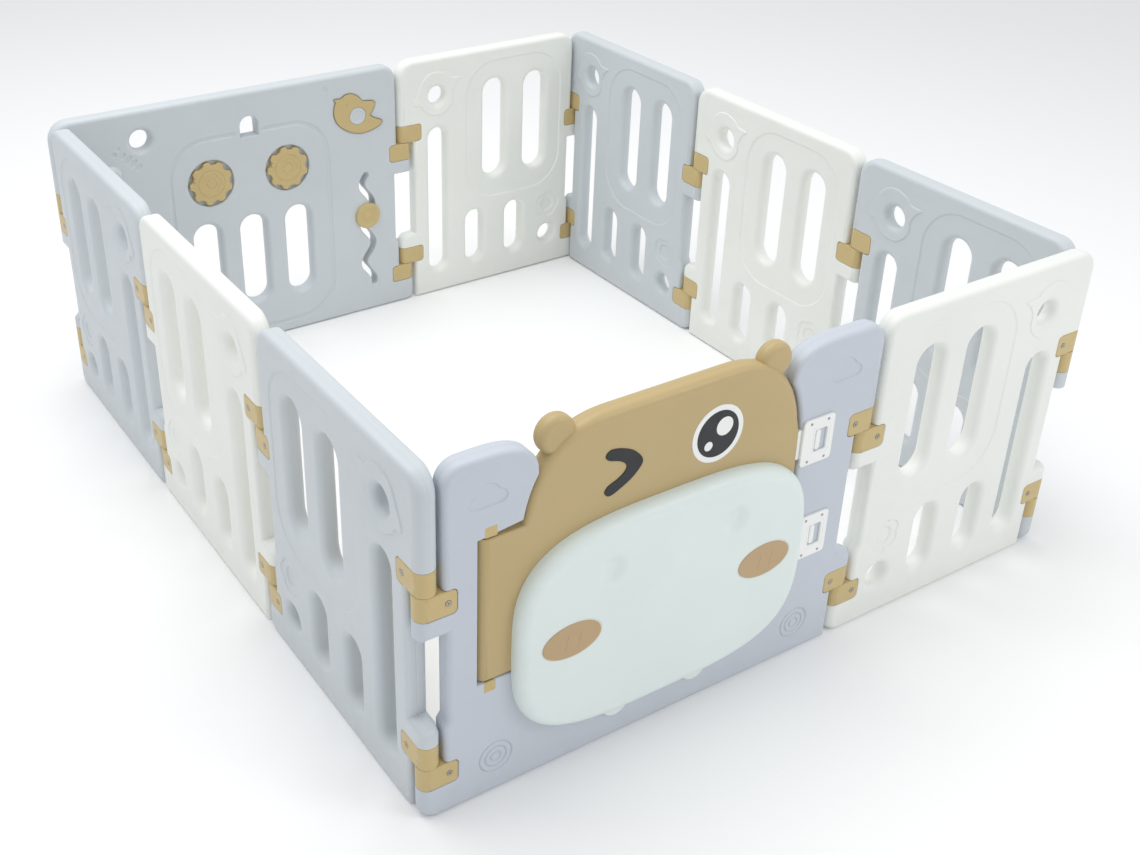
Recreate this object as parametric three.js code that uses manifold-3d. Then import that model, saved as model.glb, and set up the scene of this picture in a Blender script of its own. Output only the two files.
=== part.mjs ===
// A folding baby playpen: ten blow-moulded panels joined in a rectangular ring by lift-off corner hinges.
// Millimetres, +Z up, gate towards -Y, origin on the floor at the middle of the bounding box.
// Every panel is drawn as seen from outside: x runs right from its left hinge axis, z runs up,
// the outer face is y = -THICK / 2 and the inner face is y = THICK / 2.
import * as THREE from 'three';
import { mergeVertices } from 'three/addons/utils/BufferGeometryUtils.js';
import Module from 'manifold-3d';

const wasm = await Module();
wasm.setup();

// ---- driving dimensions ----
const PANEL_PITCH = 512; // hinge axis to hinge axis of a regular panel
const GATE_PITCH = 824; // the same for the gate and for the activity panel facing it
const PANEL_HEIGHT = 618;
const THICK = 36;
const TOP_CORNER_R = 36;
const BOTTOM_CORNER_R = 18;
const EDGE_CHAMFER = 8;
const SIDE_PANELS = 3; // regular panels in each side wall

// ---- hinges ----
const COLUMN_R = THICK / 2; // the round hinge edge is as thick as the panel
const SEAMS = [100, 420]; // heights where one panel's cap sits on the next panel's pin
const EDGE_SETBACK = 24; // from a hinge axis to the straight edge beside the neighbour's column
const WAIST_SETBACK = { left: 30, right: 26 }; // the same between the hinge groups, where light shows through
const WAIST = [172, 345];
const COLUMN_REACH = 40; // how far a column section runs into its own panel
const STACK_GAP = 0.8; // between stacked column sections
const CAP_HEIGHT = 42;
const LEFT_STEP = SEAMS[1] + CAP_HEIGHT; // above this the left end's silhouette is set back
const CAP_REACH = 44; // from the axis to the end of a cap's flanges
const CAP_WALL = 2.5;
const CAP_BASE = 3;
const FIT_GAP = 0.3; // around a piece that is seated in another
const PIN_R = 6;
const PIN_HEIGHT = 20;
const PIN_GAP = 0.6;
const BORE_CLEARANCE = 2;

// ---- regular panel: through slots and holes ----
const TALL_SLOTS = { xs: [136, 256], half: 31, low: 285, high: 537 };
const LONG_SLOT = { xs: [421], half: 24, low: 62, high: 440 };
const SHORT_SLOTS = { xs: [195, 314], half: 24, low: 62, high: 200 };
const PEEP_HOLE = { x: 420, z: 522, r: 22 };
const LOW_HOLE = { x: 90, z: 88, r: 23 };

// ---- gate ----
const GATE_MIDDLE = GATE_PITCH / 2;
const DOOR_GAP = 3;
// the head's right half: a superellipse quarter, drawn from the middle
const HEAD = { corner: 102, z: 420, wide: 158, tall: 202, power: 2.5 };
const DOOR_LOW = 100;
const DOOR_LOWER_LEFT = 150; // the leaf's left edge below its hinge barrel
const DOOR_FOOT_R = 95; // the leaf's lower corners, hidden behind the snout
const BARREL = { x: 98, low: 228, high: 482 }; // the leaf's round hinge edge
const BARREL_REACH = 22;
const POST_TOP = 92; // where the left post's flat top ends
const POST_BULGE = 565; // height at which the posts lean furthest over the doorway
const EAR = { out: 200, z: 606, r: 31, front: -12, back: 16 };
const DOOR_PIN = { r: 5, depth: 14 };
const HINGE_BLOCK = { wide: 23, tall: 20, deep: 30 };

// ---- snout and face ----
const FACE_GAP = 0.3;
const SNOUT = { z: 262, wide: 278, tall: 190, power: 3.4, proud: 26, soften: 12 };
const SNOUT_TAB = { out: 80, r: 24, z: 71, thick: 6 };
const CHEEK = { out: 187, z: 265, wide: 53, tall: 31, thick: 4, sunk: 3 };
const MARK = { thick: 3, sunk: 2 }; // the face marks and how deep they sit
const EYE = { out: 84.5, z: 522, ring: 49, iris: 40 };
const GLINTS = { large: { dx: 12, dz: 10, r: 16 }, small: { dx: -17, dz: -17, r: 8 } };
const WINK = { out: -89, z: 521, rise: 30, run: 54, half: 9 };

// ---- latches ----
const LATCHES = { upper: { x: 708, z: 442 }, lower: { x: 726, z: 250 } };
const LATCH_PLATE = { wide: 66, tall: 85, thick: 4, corner: 7 };
const LATCH_WINDOW = { dx: 6, wide: 26, tall: 42 };
const BOLT = { left: 667, right: 23, tall: 55, deep: 6 };
const BOLT_KNOB = { dx: 1.5, wide: 11, tall: 38, out: 2.6 };
const BOLT_TRAVEL = 10;
const BOLT_GAP = 0.4;
const BOLT_RUN_OUT = 4; // the channel's extra length behind the bolt

// ---- activity panel, drawn from its inner side (x from the left as seen by the child) ----
const BOARD_HOLE = { x: 174, z: 549, r: 22 };
const ARCH_HOLE = { x: 425, low: 513, high: 558, half: 20 };
const BOARD_SLOTS = { xs: [304, 418, 532], half: 31, low: 102, high: 320 };
const GEARS = { left: 324, right: 512 };
const GEAR = { z: 420, tip: 51, root: 42, teeth: 9, thick: 11.6, peg: 4, pegOut: 40, pegHigh: 5 };
const GEAR_POCKET = { r: 54, deep: 10 };
const AXLE = { r: 8, gap: 0.6, button: 16, buttonThick: 5 };
const KNOB = { x: 100, z: 482, r: 24, high: 12 };
const WAVE = { x: 715, low: 75, high: 360, swing: 13, length: 103, crest: 285, half: 7 };
const SLIDER = { z: 257, r: 32, thick: 8, stem: 4, back: 22, backThick: 5 };
const BIRD = { x: 697, z: 512, thick: 5, sunk: 3, ring: 21 };

// ---- colours ----
const GREY = { color: 0xc8cfd4, roughness: 0.5 };
const GATE_GREY = { color: 0xbfc7d1, roughness: 0.5 };
const WHITE = { color: 0xe6eae8, roughness: 0.5 };
const KHAKI = { color: 0xbfab7a, roughness: 0.45 };
const SNOUT_WHITE = { color: 0xdfe9e6, roughness: 0.45 };
const BLACK = { color: 0x26292d, roughness: 0.4 };
const CLEAN_WHITE = { color: 0xf1f3f2, roughness: 0.4 };

const OUTER = -THICK / 2;
const INNER = THICK / 2;
const BEYOND = 60; // how far cutters run past what they cut
const HALF_TURN_STEPS = 6;
const ROUND_STEPS = 14;

// ---- shapes ----

/** A closed shape through [x, y] pairs. */
function polygon(points) {
  return new THREE.Shape(points.map(([x, y]) => new THREE.Vector2(x, y)));
}

/** Points of an arc about (x, y), from one angle to another in degrees. */
function arc(x, y, r, from, to, steps) {
  return Array.from({ length: steps + 1 }, (_, i) => {
    const angle = THREE.MathUtils.degToRad(from + ((to - from) * i) / steps);
    return [x + r * Math.cos(angle), y + r * Math.sin(angle)];
  });
}

/** A whole ellipse, or a circle when tall is left out. */
function ellipse(x, y, wide, tall = wide, steps = ROUND_STEPS) {
  const turn = Array.from({ length: steps }, (_, i) => ((i + 0.5) / steps) * Math.PI * 2);
  return polygon(turn.map((a) => [x + wide * Math.cos(a), y + tall * Math.sin(a)]));
}

function rectangle(left, low, right, high) {
  return polygon([[left, low], [right, low], [right, high], [left, high]]);
}

/** A rectangle with its own radius at the bottom corners and at the top corners. */
function roundedRectangle(left, low, right, high, lowR, highR, steps = 4) {
  return polygon([
    ...arc(left + lowR, low + lowR, lowR, 180, 270, steps),
    ...arc(right - lowR, low + lowR, lowR, 270, 360, steps),
    ...arc(right - highR, high - highR, highR, 0, 90, steps),
    ...arc(left + highR, high - highR, highR, 90, 180, steps),
  ]);
}

/** An upright slot with round ends. */
function slot(x, half, low, high) {
  const steps = 5;
  return polygon([
    ...arc(x, high - half, half, 0, 180, steps),
    ...arc(x, low + half, half, 180, 360, steps),
  ]);
}

/** Points of one quarter of a superellipse, from its side (0) to its top (90). */
function superQuarter(x, y, wide, tall, power, steps) {
  return Array.from({ length: steps + 1 }, (_, i) => {
    const angle = ((Math.PI / 2) * i) / steps;
    return [
      x + wide * Math.cos(angle) ** (2 / power),
      y + tall * Math.sin(angle) ** (2 / power),
    ];
  });
}

/** A whole superellipse centred on (x, y). */
function superellipse(x, y, wide, tall, power, steps) {
  const quarter = superQuarter(0, 0, wide, tall, power, steps);
  const back = quarter.slice(1, -1).reverse();
  return polygon([
    ...quarter.map(([a, b]) => [x + a, y + b]),
    ...back.map(([a, b]) => [x - a, y + b]),
    ...quarter.map(([a, b]) => [x - a, y - b]),
    ...back.map(([a, b]) => [x + a, y - b]),
  ]);
}

/** A hinge section seen from above: a half circle about the axis, and a block into its own panel. */
function columnPlan(axis, side, r, reach) {
  const round = arc(axis, 0, r, 90, 270, HALF_TURN_STEPS);
  const points = [...round, [axis + reach, -r], [axis + reach, r]];
  return polygon(side > 0 ? points : points.map(([x, y]) => [2 * axis - x, y]));
}

/** A cap's wall seen from above: a U about the axis, open towards its own panel. */
function capPlan(axis, outerR, innerR, reach) {
  return polygon([
    [axis - reach, -outerR],
    ...arc(axis, 0, outerR, -90, 90, HALF_TURN_STEPS),
    [axis - reach, outerR],
    [axis - reach, innerR],
    ...arc(axis, 0, innerR, 90, -90, HALF_TURN_STEPS),
    [axis - reach, -innerR],
  ]);
}

// ---- solids ----

/** A manifold-3d solid from a three.js geometry. */
function solidFrom(geometry) {
  const bare = new THREE.BufferGeometry();
  bare.setAttribute('position', geometry.getAttribute('position'));
  const merged = mergeVertices(bare, 1e-4);
  const mesh = new wasm.Mesh({
    numProp: 3,
    vertProperties: new Float32Array(merged.attributes.position.array),
    triVerts: new Uint32Array(merged.index.array),
  });
  return new wasm.Manifold(mesh);
}

/** A panel-like solid: an (x, z) shape between two y values, with its edges chamfered. */
function plate(shape, yLow, yHigh, chamfer = 0) {
  const geometry = new THREE.ExtrudeGeometry(shape, {
    depth: yHigh - yLow - 2 * chamfer,
    bevelEnabled: chamfer > 0,
    bevelThickness: chamfer,
    bevelSize: chamfer,
    bevelOffset: -chamfer,
    bevelSegments: 1,
    curveSegments: 6,
  });
  geometry.translate(0, 0, chamfer);
  geometry.rotateX(Math.PI / 2);
  geometry.translate(0, yHigh, 0);
  return solidFrom(geometry);
}

/** An upright solid: an (x, y) shape between two heights. */
function upright(shape, low, high) {
  const geometry = new THREE.ExtrudeGeometry(shape, { depth: high - low, bevelEnabled: false });
  geometry.translate(0, 0, low);
  return solidFrom(geometry);
}

const through = (shape) => plate(shape, OUTER - BEYOND, INNER + BEYOND);
const joined = (solids) => solids.reduce((whole, next) => whole.add(next));
const without = (solid, cutters) => cutters.reduce((rest, cutter) => rest.subtract(cutter), solid);

/** A named mesh with its own material. */
function piece(name, solid, look) {
  const made = solid.getMesh();
  const geometry = new THREE.BufferGeometry();
  geometry.setAttribute('position', new THREE.BufferAttribute(made.vertProperties, 3));
  geometry.setIndex(new THREE.BufferAttribute(made.triVerts, 1));
  const mesh = new THREE.Mesh(geometry, new THREE.MeshStandardMaterial({ ...look, metalness: 0 }));
  mesh.name = name;
  return mesh;
}

// ---- what every panel shares ----

/** The panel's middle, set back from both hinge axes and further back at the waist. */
function panelBody(pitch) {
  const low = -BEYOND;
  const high = PANEL_HEIGHT + BEYOND;
  const edge = (waist) => {
    const step = waist - EDGE_SETBACK;
    return [
      [EDGE_SETBACK, low],
      [EDGE_SETBACK, WAIST[0] - step],
      [waist, WAIST[0]],
      [waist, WAIST[1]],
      [EDGE_SETBACK, WAIST[1] + step],
      [EDGE_SETBACK, high],
    ];
  };
  const farEdge = edge(WAIST_SETBACK.right).map(([x, z]) => [pitch - x, z]);
  return plate(polygon([...edge(WAIST_SETBACK.left).reverse(), ...farEdge]), OUTER, INNER, EDGE_CHAMFER);
}

/** Column sections a panel owns: below each seam on its left edge, above each seam on its right. */
function panelColumns(pitch) {
  const end = STACK_GAP / 2;
  const left = [[-BEYOND, SEAMS[0] - end], [WAIST[1], SEAMS[1] - end]];
  const right = [[SEAMS[0] + end, WAIST[0]], [SEAMS[1] + end, PANEL_HEIGHT + BEYOND]];
  const plans = [columnPlan(0, 1, COLUMN_R, COLUMN_REACH), columnPlan(pitch, -1, COLUMN_R, COLUMN_REACH)];
  return [
    ...left.map(([low, high]) => upright(plans[0], low, high)),
    ...right.map(([low, high]) => upright(plans[1], low, high)),
  ];
}

/** Pins that stand on the left edge's sections and carry the neighbour. */
function hingePins() {
  return SEAMS.map((seam) => upright(ellipse(0, 0, PIN_R, PIN_R, 12), seam - CAP_BASE, seam + PIN_HEIGHT));
}

/** What is cut from a panel's right edge so that its two caps seat flush and the pins enter. */
function capSeats(pitch) {
  const core = COLUMN_R - CAP_WALL - FIT_GAP;
  const wall = capPlan(pitch, COLUMN_R + 1, core, CAP_REACH + FIT_GAP);
  const base = columnPlan(pitch, -1, COLUMN_R + 1, EDGE_SETBACK + FIT_GAP);
  const bore = ellipse(pitch, 0, PIN_R + BORE_CLEARANCE, PIN_R + BORE_CLEARANCE, 12);
  return SEAMS.flatMap((seam) => [
    upright(wall, seam - 1, seam + CAP_HEIGHT + FIT_GAP),
    upright(base, seam - 1, seam + STACK_GAP / 2 + CAP_BASE + FIT_GAP),
    upright(bore, seam - 1, seam + PIN_HEIGHT + BORE_CLEARANCE),
  ]);
}

/** A whole panel inside the given outline, with its hinge columns, pins and cap seats. */
function panelSolid(pitch, outline, cutters, pins = hingePins()) {
  const full = joined([panelBody(pitch), ...panelColumns(pitch)]);
  const shaped = full.intersect(plate(outline, OUTER, INNER, EDGE_CHAMFER));
  return without(joined([shaped, ...pins]), [...capSeats(pitch), ...cutters]);
}

/** One hinge cap: a U wall that wraps the panel's right edge, and a base with the pin hole. */
function capSolid(pitch, seam) {
  const low = seam + STACK_GAP / 2;
  const wall = upright(capPlan(pitch, COLUMN_R, COLUMN_R - CAP_WALL, CAP_REACH), low, seam + CAP_HEIGHT);
  const base = upright(columnPlan(pitch, -1, COLUMN_R - CAP_WALL / 2, EDGE_SETBACK), low, low + CAP_BASE);
  const hole = upright(ellipse(pitch, 0, PIN_R + PIN_GAP, PIN_R + PIN_GAP, 12), low - 1, low + CAP_BASE + 1);
  return wall.add(base).subtract(hole);
}

/** A panel's two caps as named pieces. */
function hingeCaps(owner, pitch) {
  const heights = ['lower', 'upper'];
  return SEAMS.map((seam, i) => piece(`${owner}_hinge_cap_${heights[i]}`, capSolid(pitch, seam), KHAKI));
}

/** A panel's silhouette. Above the upper seam its left end stops short of the axis. */
function fullOutline(pitch) {
  const right = pitch + COLUMN_R;
  const high = PANEL_HEIGHT;
  return polygon([
    ...arc(BOTTOM_CORNER_R - COLUMN_R, BOTTOM_CORNER_R, BOTTOM_CORNER_R, 180, 270, 3),
    ...arc(right - BOTTOM_CORNER_R, BOTTOM_CORNER_R, BOTTOM_CORNER_R, 270, 360, 3),
    ...arc(right - TOP_CORNER_R, high - TOP_CORNER_R, TOP_CORNER_R, 0, 90, 5),
    ...arc(EDGE_SETBACK + TOP_CORNER_R, high - TOP_CORNER_R, TOP_CORNER_R, 90, 180, 5),
    [EDGE_SETBACK, LEFT_STEP],
    [-COLUMN_R, LEFT_STEP],
  ]);
}

// ---- regular panel ----

function regularPanel(name, look) {
  const slots = [TALL_SLOTS, LONG_SLOT, SHORT_SLOTS].flatMap(({ xs, half, low, high }) =>
    xs.map((x) => through(slot(x, half, low, high))));
  const holes = [PEEP_HOLE, LOW_HOLE].map(({ x, z, r }) => through(ellipse(x, z, r)));
  const solid = panelSolid(PANEL_PITCH, fullOutline(PANEL_PITCH), [...slots, ...holes]);
  return [piece(name, solid, look), ...hingeCaps(name, PANEL_PITCH)];
}

// ---- gate ----

/** The head's right-hand curve, grown outwards, from its side up to its top. */
function headCurve(grow) {
  const { corner, z, wide, tall, power } = HEAD;
  return superQuarter(GATE_MIDDLE + corner, z, wide + grow, tall + grow, power, 10);
}

/** The leaf's two lower corners from left to right, grown outwards. */
function doorFoot(grow) {
  const r = DOOR_FOOT_R + grow;
  const z = DOOR_LOW + DOOR_FOOT_R;
  return [
    ...arc(DOOR_LOWER_LEFT + DOOR_FOOT_R, z, r, 180, 270, 6),
    ...arc(GATE_MIDDLE + HEAD.corner + HEAD.wide - DOOR_FOOT_R, z, r, 270, 360, 6),
  ];
}

const mirrored = (points) => points.map(([x, z]) => [GATE_PITCH - x, z]).reverse();

/** The frame's outline: two posts that lean over the doorway, and a sill. */
function gateOutline() {
  const curve = headCurve(DOOR_GAP).filter(([, z]) => z <= POST_BULGE);
  const tip = curve[curve.length - 1][0];
  const bend = new THREE.QuadraticBezierCurve(
    new THREE.Vector2(tip, POST_BULGE),
    new THREE.Vector2(tip, PANEL_HEIGHT),
    new THREE.Vector2(GATE_PITCH - POST_TOP, PANEL_HEIGHT),
  );
  const shoulder = bend.getPoints(5).map(({ x, y }) => [x, y]);
  const postSide = [...curve, ...shoulder];
  const right = GATE_PITCH + COLUMN_R;
  const barrelLeft = BARREL.x - COLUMN_R - DOOR_GAP;
  const lowerLeft = DOOR_LOWER_LEFT - DOOR_GAP;
  return polygon([
    ...arc(BOTTOM_CORNER_R - COLUMN_R, BOTTOM_CORNER_R, BOTTOM_CORNER_R, 180, 270, 4),
    ...arc(right - BOTTOM_CORNER_R, BOTTOM_CORNER_R, BOTTOM_CORNER_R, 270, 360, 4),
    ...arc(right - TOP_CORNER_R, PANEL_HEIGHT - TOP_CORNER_R, TOP_CORNER_R, 0, 90, 4),
    ...postSide.slice().reverse(),
    ...doorFoot(DOOR_GAP).reverse(),
    [lowerLeft, BARREL.low - DOOR_GAP],
    [barrelLeft, BARREL.low - DOOR_GAP],
    [barrelLeft, BARREL.high + DOOR_GAP],
    ...mirrored(postSide).reverse().filter(([, z]) => z > BARREL.high + DOOR_GAP),
    ...arc(EDGE_SETBACK + TOP_CORNER_R, PANEL_HEIGHT - TOP_CORNER_R, TOP_CORNER_R, 90, 180, 4),
    [EDGE_SETBACK, LEFT_STEP],
    [-COLUMN_R, LEFT_STEP],
  ]);
}

/** The two hinge blocks' rectangles, above and below the barrel. */
const blockSpans = {
  upper: [BARREL.high + DOOR_GAP, BARREL.high + DOOR_GAP + HINGE_BLOCK.tall],
  lower: [BARREL.low - DOOR_GAP - HINGE_BLOCK.tall, BARREL.low - DOOR_GAP],
};

function blockBody([low, high], grow) {
  const half = HINGE_BLOCK.wide / 2 + grow;
  const shape = rectangle(BARREL.x - half, low - grow, BARREL.x + half, high + grow);
  return plate(shape, OUTER - (grow > 0 ? BEYOND : 0), OUTER + HINGE_BLOCK.deep + grow);
}

/** A pin from a hinge block into the barrel, or the bore it turns in. */
function doorPin(end, r, extra) {
  const reach = DOOR_PIN.depth + extra;
  const [low, high] = end === 'upper'
    ? [BARREL.high - reach, BARREL.high + DOOR_GAP + 1]
    : [BARREL.low - DOOR_GAP - 1, BARREL.low + reach];
  return upright(ellipse(BARREL.x, 0, r, r, 12), low, high);
}

function hingeBlock(end) {
  const solid = blockBody(blockSpans[end], 0).add(doorPin(end, DOOR_PIN.r, 0));
  return piece(`door_hinge_block_${end}`, solid, KHAKI);
}

/** The shallow channel a latch bolt slides in, from the door's edge to past the plate's middle. */
function boltChannel({ x, z }) {
  const half = BOLT.tall / 2 + BOLT_GAP;
  const right = x + BOLT.right + BOLT_TRAVEL + BOLT_GAP;
  const floor = OUTER + BOLT.deep + 2 * BOLT_GAP;
  return plate(rectangle(BOLT.left - BOLT_RUN_OUT, z - half, right, z + half), OUTER - 1, floor);
}

function gateFrame() {
  const seats = Object.values(blockSpans).map((span) => blockBody(span, FIT_GAP));
  const channels = Object.values(LATCHES).map(boltChannel);
  const solid = panelSolid(GATE_PITCH, gateOutline(), [...seats, ...channels]);
  return [piece('gate_frame', solid, GATE_GREY), ...hingeCaps('gate', GATE_PITCH)];
}

/** The leaf without its barrel: the head's outline down to the doorway's sill. */
function leafOutline() {
  const right = headCurve(0);
  const left = mirrored(right).filter(([, z]) => z > BARREL.high);
  return polygon([
    ...doorFoot(0),
    ...right,
    ...left,
    [left[left.length - 1][0], BARREL.high],
    [BARREL.x, BARREL.high],
    [BARREL.x, BARREL.low],
    [DOOR_LOWER_LEFT, BARREL.low],
  ]);
}

/** The chevron of the closed eye. */
function winkOutline(grow) {
  const { z, rise, run, half } = WINK;
  const x = GATE_MIDDLE + WINK.out;
  const r = half + grow;
  const slope = Math.atan2(rise, run);
  const slopeDeg = THREE.MathUtils.radToDeg(slope);
  return polygon([
    ...arc(x - run / 2, z - rise, r, 90 + slopeDeg, 270 + slopeDeg, 5),
    ...arc(x + run / 2, z, r, slopeDeg - 90, 90 - slopeDeg, 5),
    ...arc(x - run / 2, z + rise, r, 90 - slopeDeg, 270 - slopeDeg, 5),
    [x + run / 2 - r / Math.sin(slope), z],
  ]);
}

function faceDisc(x, z, wide, tall, low, high) {
  return plate(ellipse(x, z, wide, tall, 20), low, high);
}

function doorLeaf() {
  const barrel = upright(columnPlan(BARREL.x, 1, COLUMN_R, BARREL_REACH), BARREL.low, BARREL.high);
  const ears = [-EAR.out, EAR.out].map((out) =>
    plate(ellipse(GATE_MIDDLE + out, EAR.z, EAR.r), EAR.front, EAR.back, 6));
  const bores = ['upper', 'lower'].map((end) =>
    doorPin(end, DOOR_PIN.r + PIN_GAP, BORE_CLEARANCE));
  const markFloor = OUTER + MARK.sunk;
  const eyeR = EYE.ring + FIT_GAP;
  const eye = faceDisc(GATE_MIDDLE + EYE.out, EYE.z, eyeR, eyeR, OUTER - 1, markFloor);
  const wink = plate(winkOutline(FIT_GAP), OUTER - 1, markFloor);
  const leaf = joined([plate(leafOutline(), OUTER, INNER, EDGE_CHAMFER), barrel, ...ears]);
  const solid = without(leaf, [...bores, eye, wink, ...Object.values(LATCHES).map(boltChannel)]);
  return piece('gate_door', solid, KHAKI);
}

// ---- face ----

const snoutFace = OUTER - FACE_GAP - SNOUT.proud;

function snoutPanel() {
  const { z, wide, tall, power, soften } = SNOUT;
  const back = OUTER - FACE_GAP;
  const rim = superellipse(GATE_MIDDLE, z, wide, tall, power, 8);
  const dome = plate(rim, snoutFace, back + 2 * soften, soften);
  const keep = plate(rectangle(0, 0, GATE_PITCH, PANEL_HEIGHT), snoutFace - 1, back);
  const tabs = [-SNOUT_TAB.out, SNOUT_TAB.out].map((out) =>
    plate(ellipse(GATE_MIDDLE + out, SNOUT_TAB.z, SNOUT_TAB.r), back - SNOUT_TAB.thick, back));
  const seats = [-CHEEK.out, CHEEK.out].map((out) =>
    faceDisc(GATE_MIDDLE + out, CHEEK.z, CHEEK.wide + FIT_GAP, CHEEK.tall + FIT_GAP,
      snoutFace - 1, snoutFace + CHEEK.sunk + FIT_GAP));
  return piece('snout_panel', without(joined([dome.intersect(keep), ...tabs]), seats), SNOUT_WHITE);
}

function cheek(name, out) {
  const low = snoutFace + CHEEK.sunk - CHEEK.thick;
  const inlay = faceDisc(GATE_MIDDLE + out, CHEEK.z, CHEEK.wide, CHEEK.tall, low, low + CHEEK.thick);
  return piece(name, inlay, KHAKI);
}

/** The open eye: a white ring, a dark iris and two glints, all the same thickness. */
function eyePieces() {
  const high = OUTER + MARK.sunk - FIT_GAP;
  const low = high - MARK.thick;
  const x = GATE_MIDDLE + EYE.out;
  const disc = (r, { dx, dz } = { dx: 0, dz: 0 }) => faceDisc(x + dx, EYE.z + dz, r, r, low, high);
  const glintHoles = Object.values(GLINTS).map((glint) => disc(glint.r + FIT_GAP, glint));
  return [
    piece('eye_ring', disc(EYE.ring).subtract(disc(EYE.iris + FIT_GAP)), CLEAN_WHITE),
    piece('eye_iris', without(disc(EYE.iris), glintHoles), BLACK),
    piece('eye_glint_large', disc(GLINTS.large.r, GLINTS.large), CLEAN_WHITE),
    piece('eye_glint_small', disc(GLINTS.small.r, GLINTS.small), CLEAN_WHITE),
  ];
}

function winkMark() {
  const high = OUTER + MARK.sunk - FIT_GAP;
  return piece('wink_mark', plate(winkOutline(0), high - MARK.thick, high), BLACK);
}

// ---- latches ----

function latchPlate(level) {
  const { x, z } = LATCHES[level];
  const { wide, tall, thick, corner } = LATCH_PLATE;
  const shape = roundedRectangle(x - wide / 2, z - tall / 2, x + wide / 2, z + tall / 2, corner, corner, 3);
  const window = through(rectangle(
    x + LATCH_WINDOW.dx - LATCH_WINDOW.wide / 2, z - LATCH_WINDOW.tall / 2,
    x + LATCH_WINDOW.dx + LATCH_WINDOW.wide / 2, z + LATCH_WINDOW.tall / 2));
  const back = OUTER - FIT_GAP;
  return piece(`latch_plate_${level}`, plate(shape, back - thick, back).subtract(window), CLEAN_WHITE);
}

function latchBolt(level) {
  const { x, z } = LATCHES[level];
  const low = OUTER + BOLT_GAP;
  const half = BOLT.tall / 2;
  const bar = plate(rectangle(BOLT.left, z - half, x + BOLT.right, z + half), low, low + BOLT.deep);
  const knobX = x + BOLT_KNOB.dx - BOLT_KNOB.wide / 2;
  const { wide, tall } = BOLT_KNOB;
  const knobShape = slot(knobX + wide / 2, wide / 2, z - tall / 2, z + tall / 2);
  const knob = plate(knobShape, OUTER - FIT_GAP - BOLT_KNOB.out, low + 1);
  return piece(`latch_bolt_${level}`, bar.add(knob), CLEAN_WHITE);
}

// ---- activity panel ----

const boardX = (x) => GATE_PITCH - x;

/** The wavy track's middle line at a height, in the child's x. */
const waveX = (z) => WAVE.x + WAVE.swing * Math.cos(((z - WAVE.crest) / WAVE.length) * 2 * Math.PI);

/** The wavy slot: both sides of its middle line, offset square to it, with pointed-round ends. */
function waveShape() {
  const steps = 22;
  const line = Array.from({ length: steps + 1 }, (_, i) => {
    const z = WAVE.low + ((WAVE.high - WAVE.low) * i) / steps;
    return [boardX(waveX(z)), z];
  });
  const offset = (sign) => line.map(([x, z], i) => {
    const [xa, za] = line[Math.max(i - 1, 0)];
    const [xb, zb] = line[Math.min(i + 1, steps)];
    const length = Math.hypot(xb - xa, zb - za);
    return [x + (sign * WAVE.half * (zb - za)) / length, z - (sign * WAVE.half * (xb - xa)) / length];
  });
  return polygon([...offset(1), ...offset(-1).reverse()]);
}

/** The bird inlay's outline as the child sees it, about its ring. */
const BIRD_OUTLINE = [
  [-58, 48], [-42, 48], [-31, 54], [-16, 55], [-3, 49], [7, 40], [13, 33], [30, 31], [43, 27], [44, 20],
  [38, 8], [31, -4], [43, -13], [61, -21], [59, -28], [43, -36], [22, -41], [0, -40], [-24, -32], [-46, -16],
  [-57, 1], [-60, 17], [-57, 34], [-53, 41],
];

function birdShape(grow) {
  const scale = 1 + grow / 50;
  return polygon(BIRD_OUTLINE.map(([dx, dz]) => [boardX(BIRD.x + dx * scale), BIRD.z + dz * scale]));
}

function birdInlay() {
  const low = INNER - BIRD.sunk + FIT_GAP;
  const ring = through(ellipse(boardX(BIRD.x), BIRD.z, BIRD.ring + FIT_GAP));
  return piece('bird_inlay', plate(birdShape(0), low, low + BIRD.thick).subtract(ring), KHAKI);
}

function activityPanel() {
  const rows = BOARD_SLOTS;
  const slots = rows.xs.map((x) => through(slot(boardX(x), rows.half, rows.low, rows.high)));
  const hole = through(ellipse(boardX(BOARD_HOLE.x), BOARD_HOLE.z, BOARD_HOLE.r));
  const { x, low, high, half } = ARCH_HOLE;
  const arch = through(roundedRectangle(boardX(x) - half, low, boardX(x) + half, high, 3, half, 5));
  const pocketFloor = INNER - GEAR_POCKET.deep;
  const gearSeats = Object.values(GEARS).flatMap((gearX) => [
    plate(ellipse(boardX(gearX), GEAR.z, GEAR_POCKET.r, GEAR_POCKET.r, 24), pocketFloor, INNER + 1),
    through(ellipse(boardX(gearX), GEAR.z, AXLE.r + AXLE.gap, AXLE.r + AXLE.gap, 12)),
  ]);
  const track = through(waveShape());
  const ringBoss = plate(ellipse(boardX(BIRD.x), BIRD.z, BIRD.ring), INNER - BIRD.sunk - 1, INNER + 1);
  const birdSeat = plate(birdShape(2 * FIT_GAP), INNER - BIRD.sunk, INNER + 1);
  const knob = plate(ellipse(boardX(KNOB.x), KNOB.z, KNOB.r), INNER - 1, INNER + KNOB.high);
  const cutters = [...slots, hole, arch, ...gearSeats, track, birdSeat];
  const noPins = []; // the ring is parted at this panel's left edge, so the neighbour can swing away
  const solid = joined([panelSolid(GATE_PITCH, fullOutline(GATE_PITCH), cutters, noPins), ringBoss, knob]);
  return [piece('activity_panel', solid, GREY), ...hingeCaps('activity', GATE_PITCH)];
}

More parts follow.
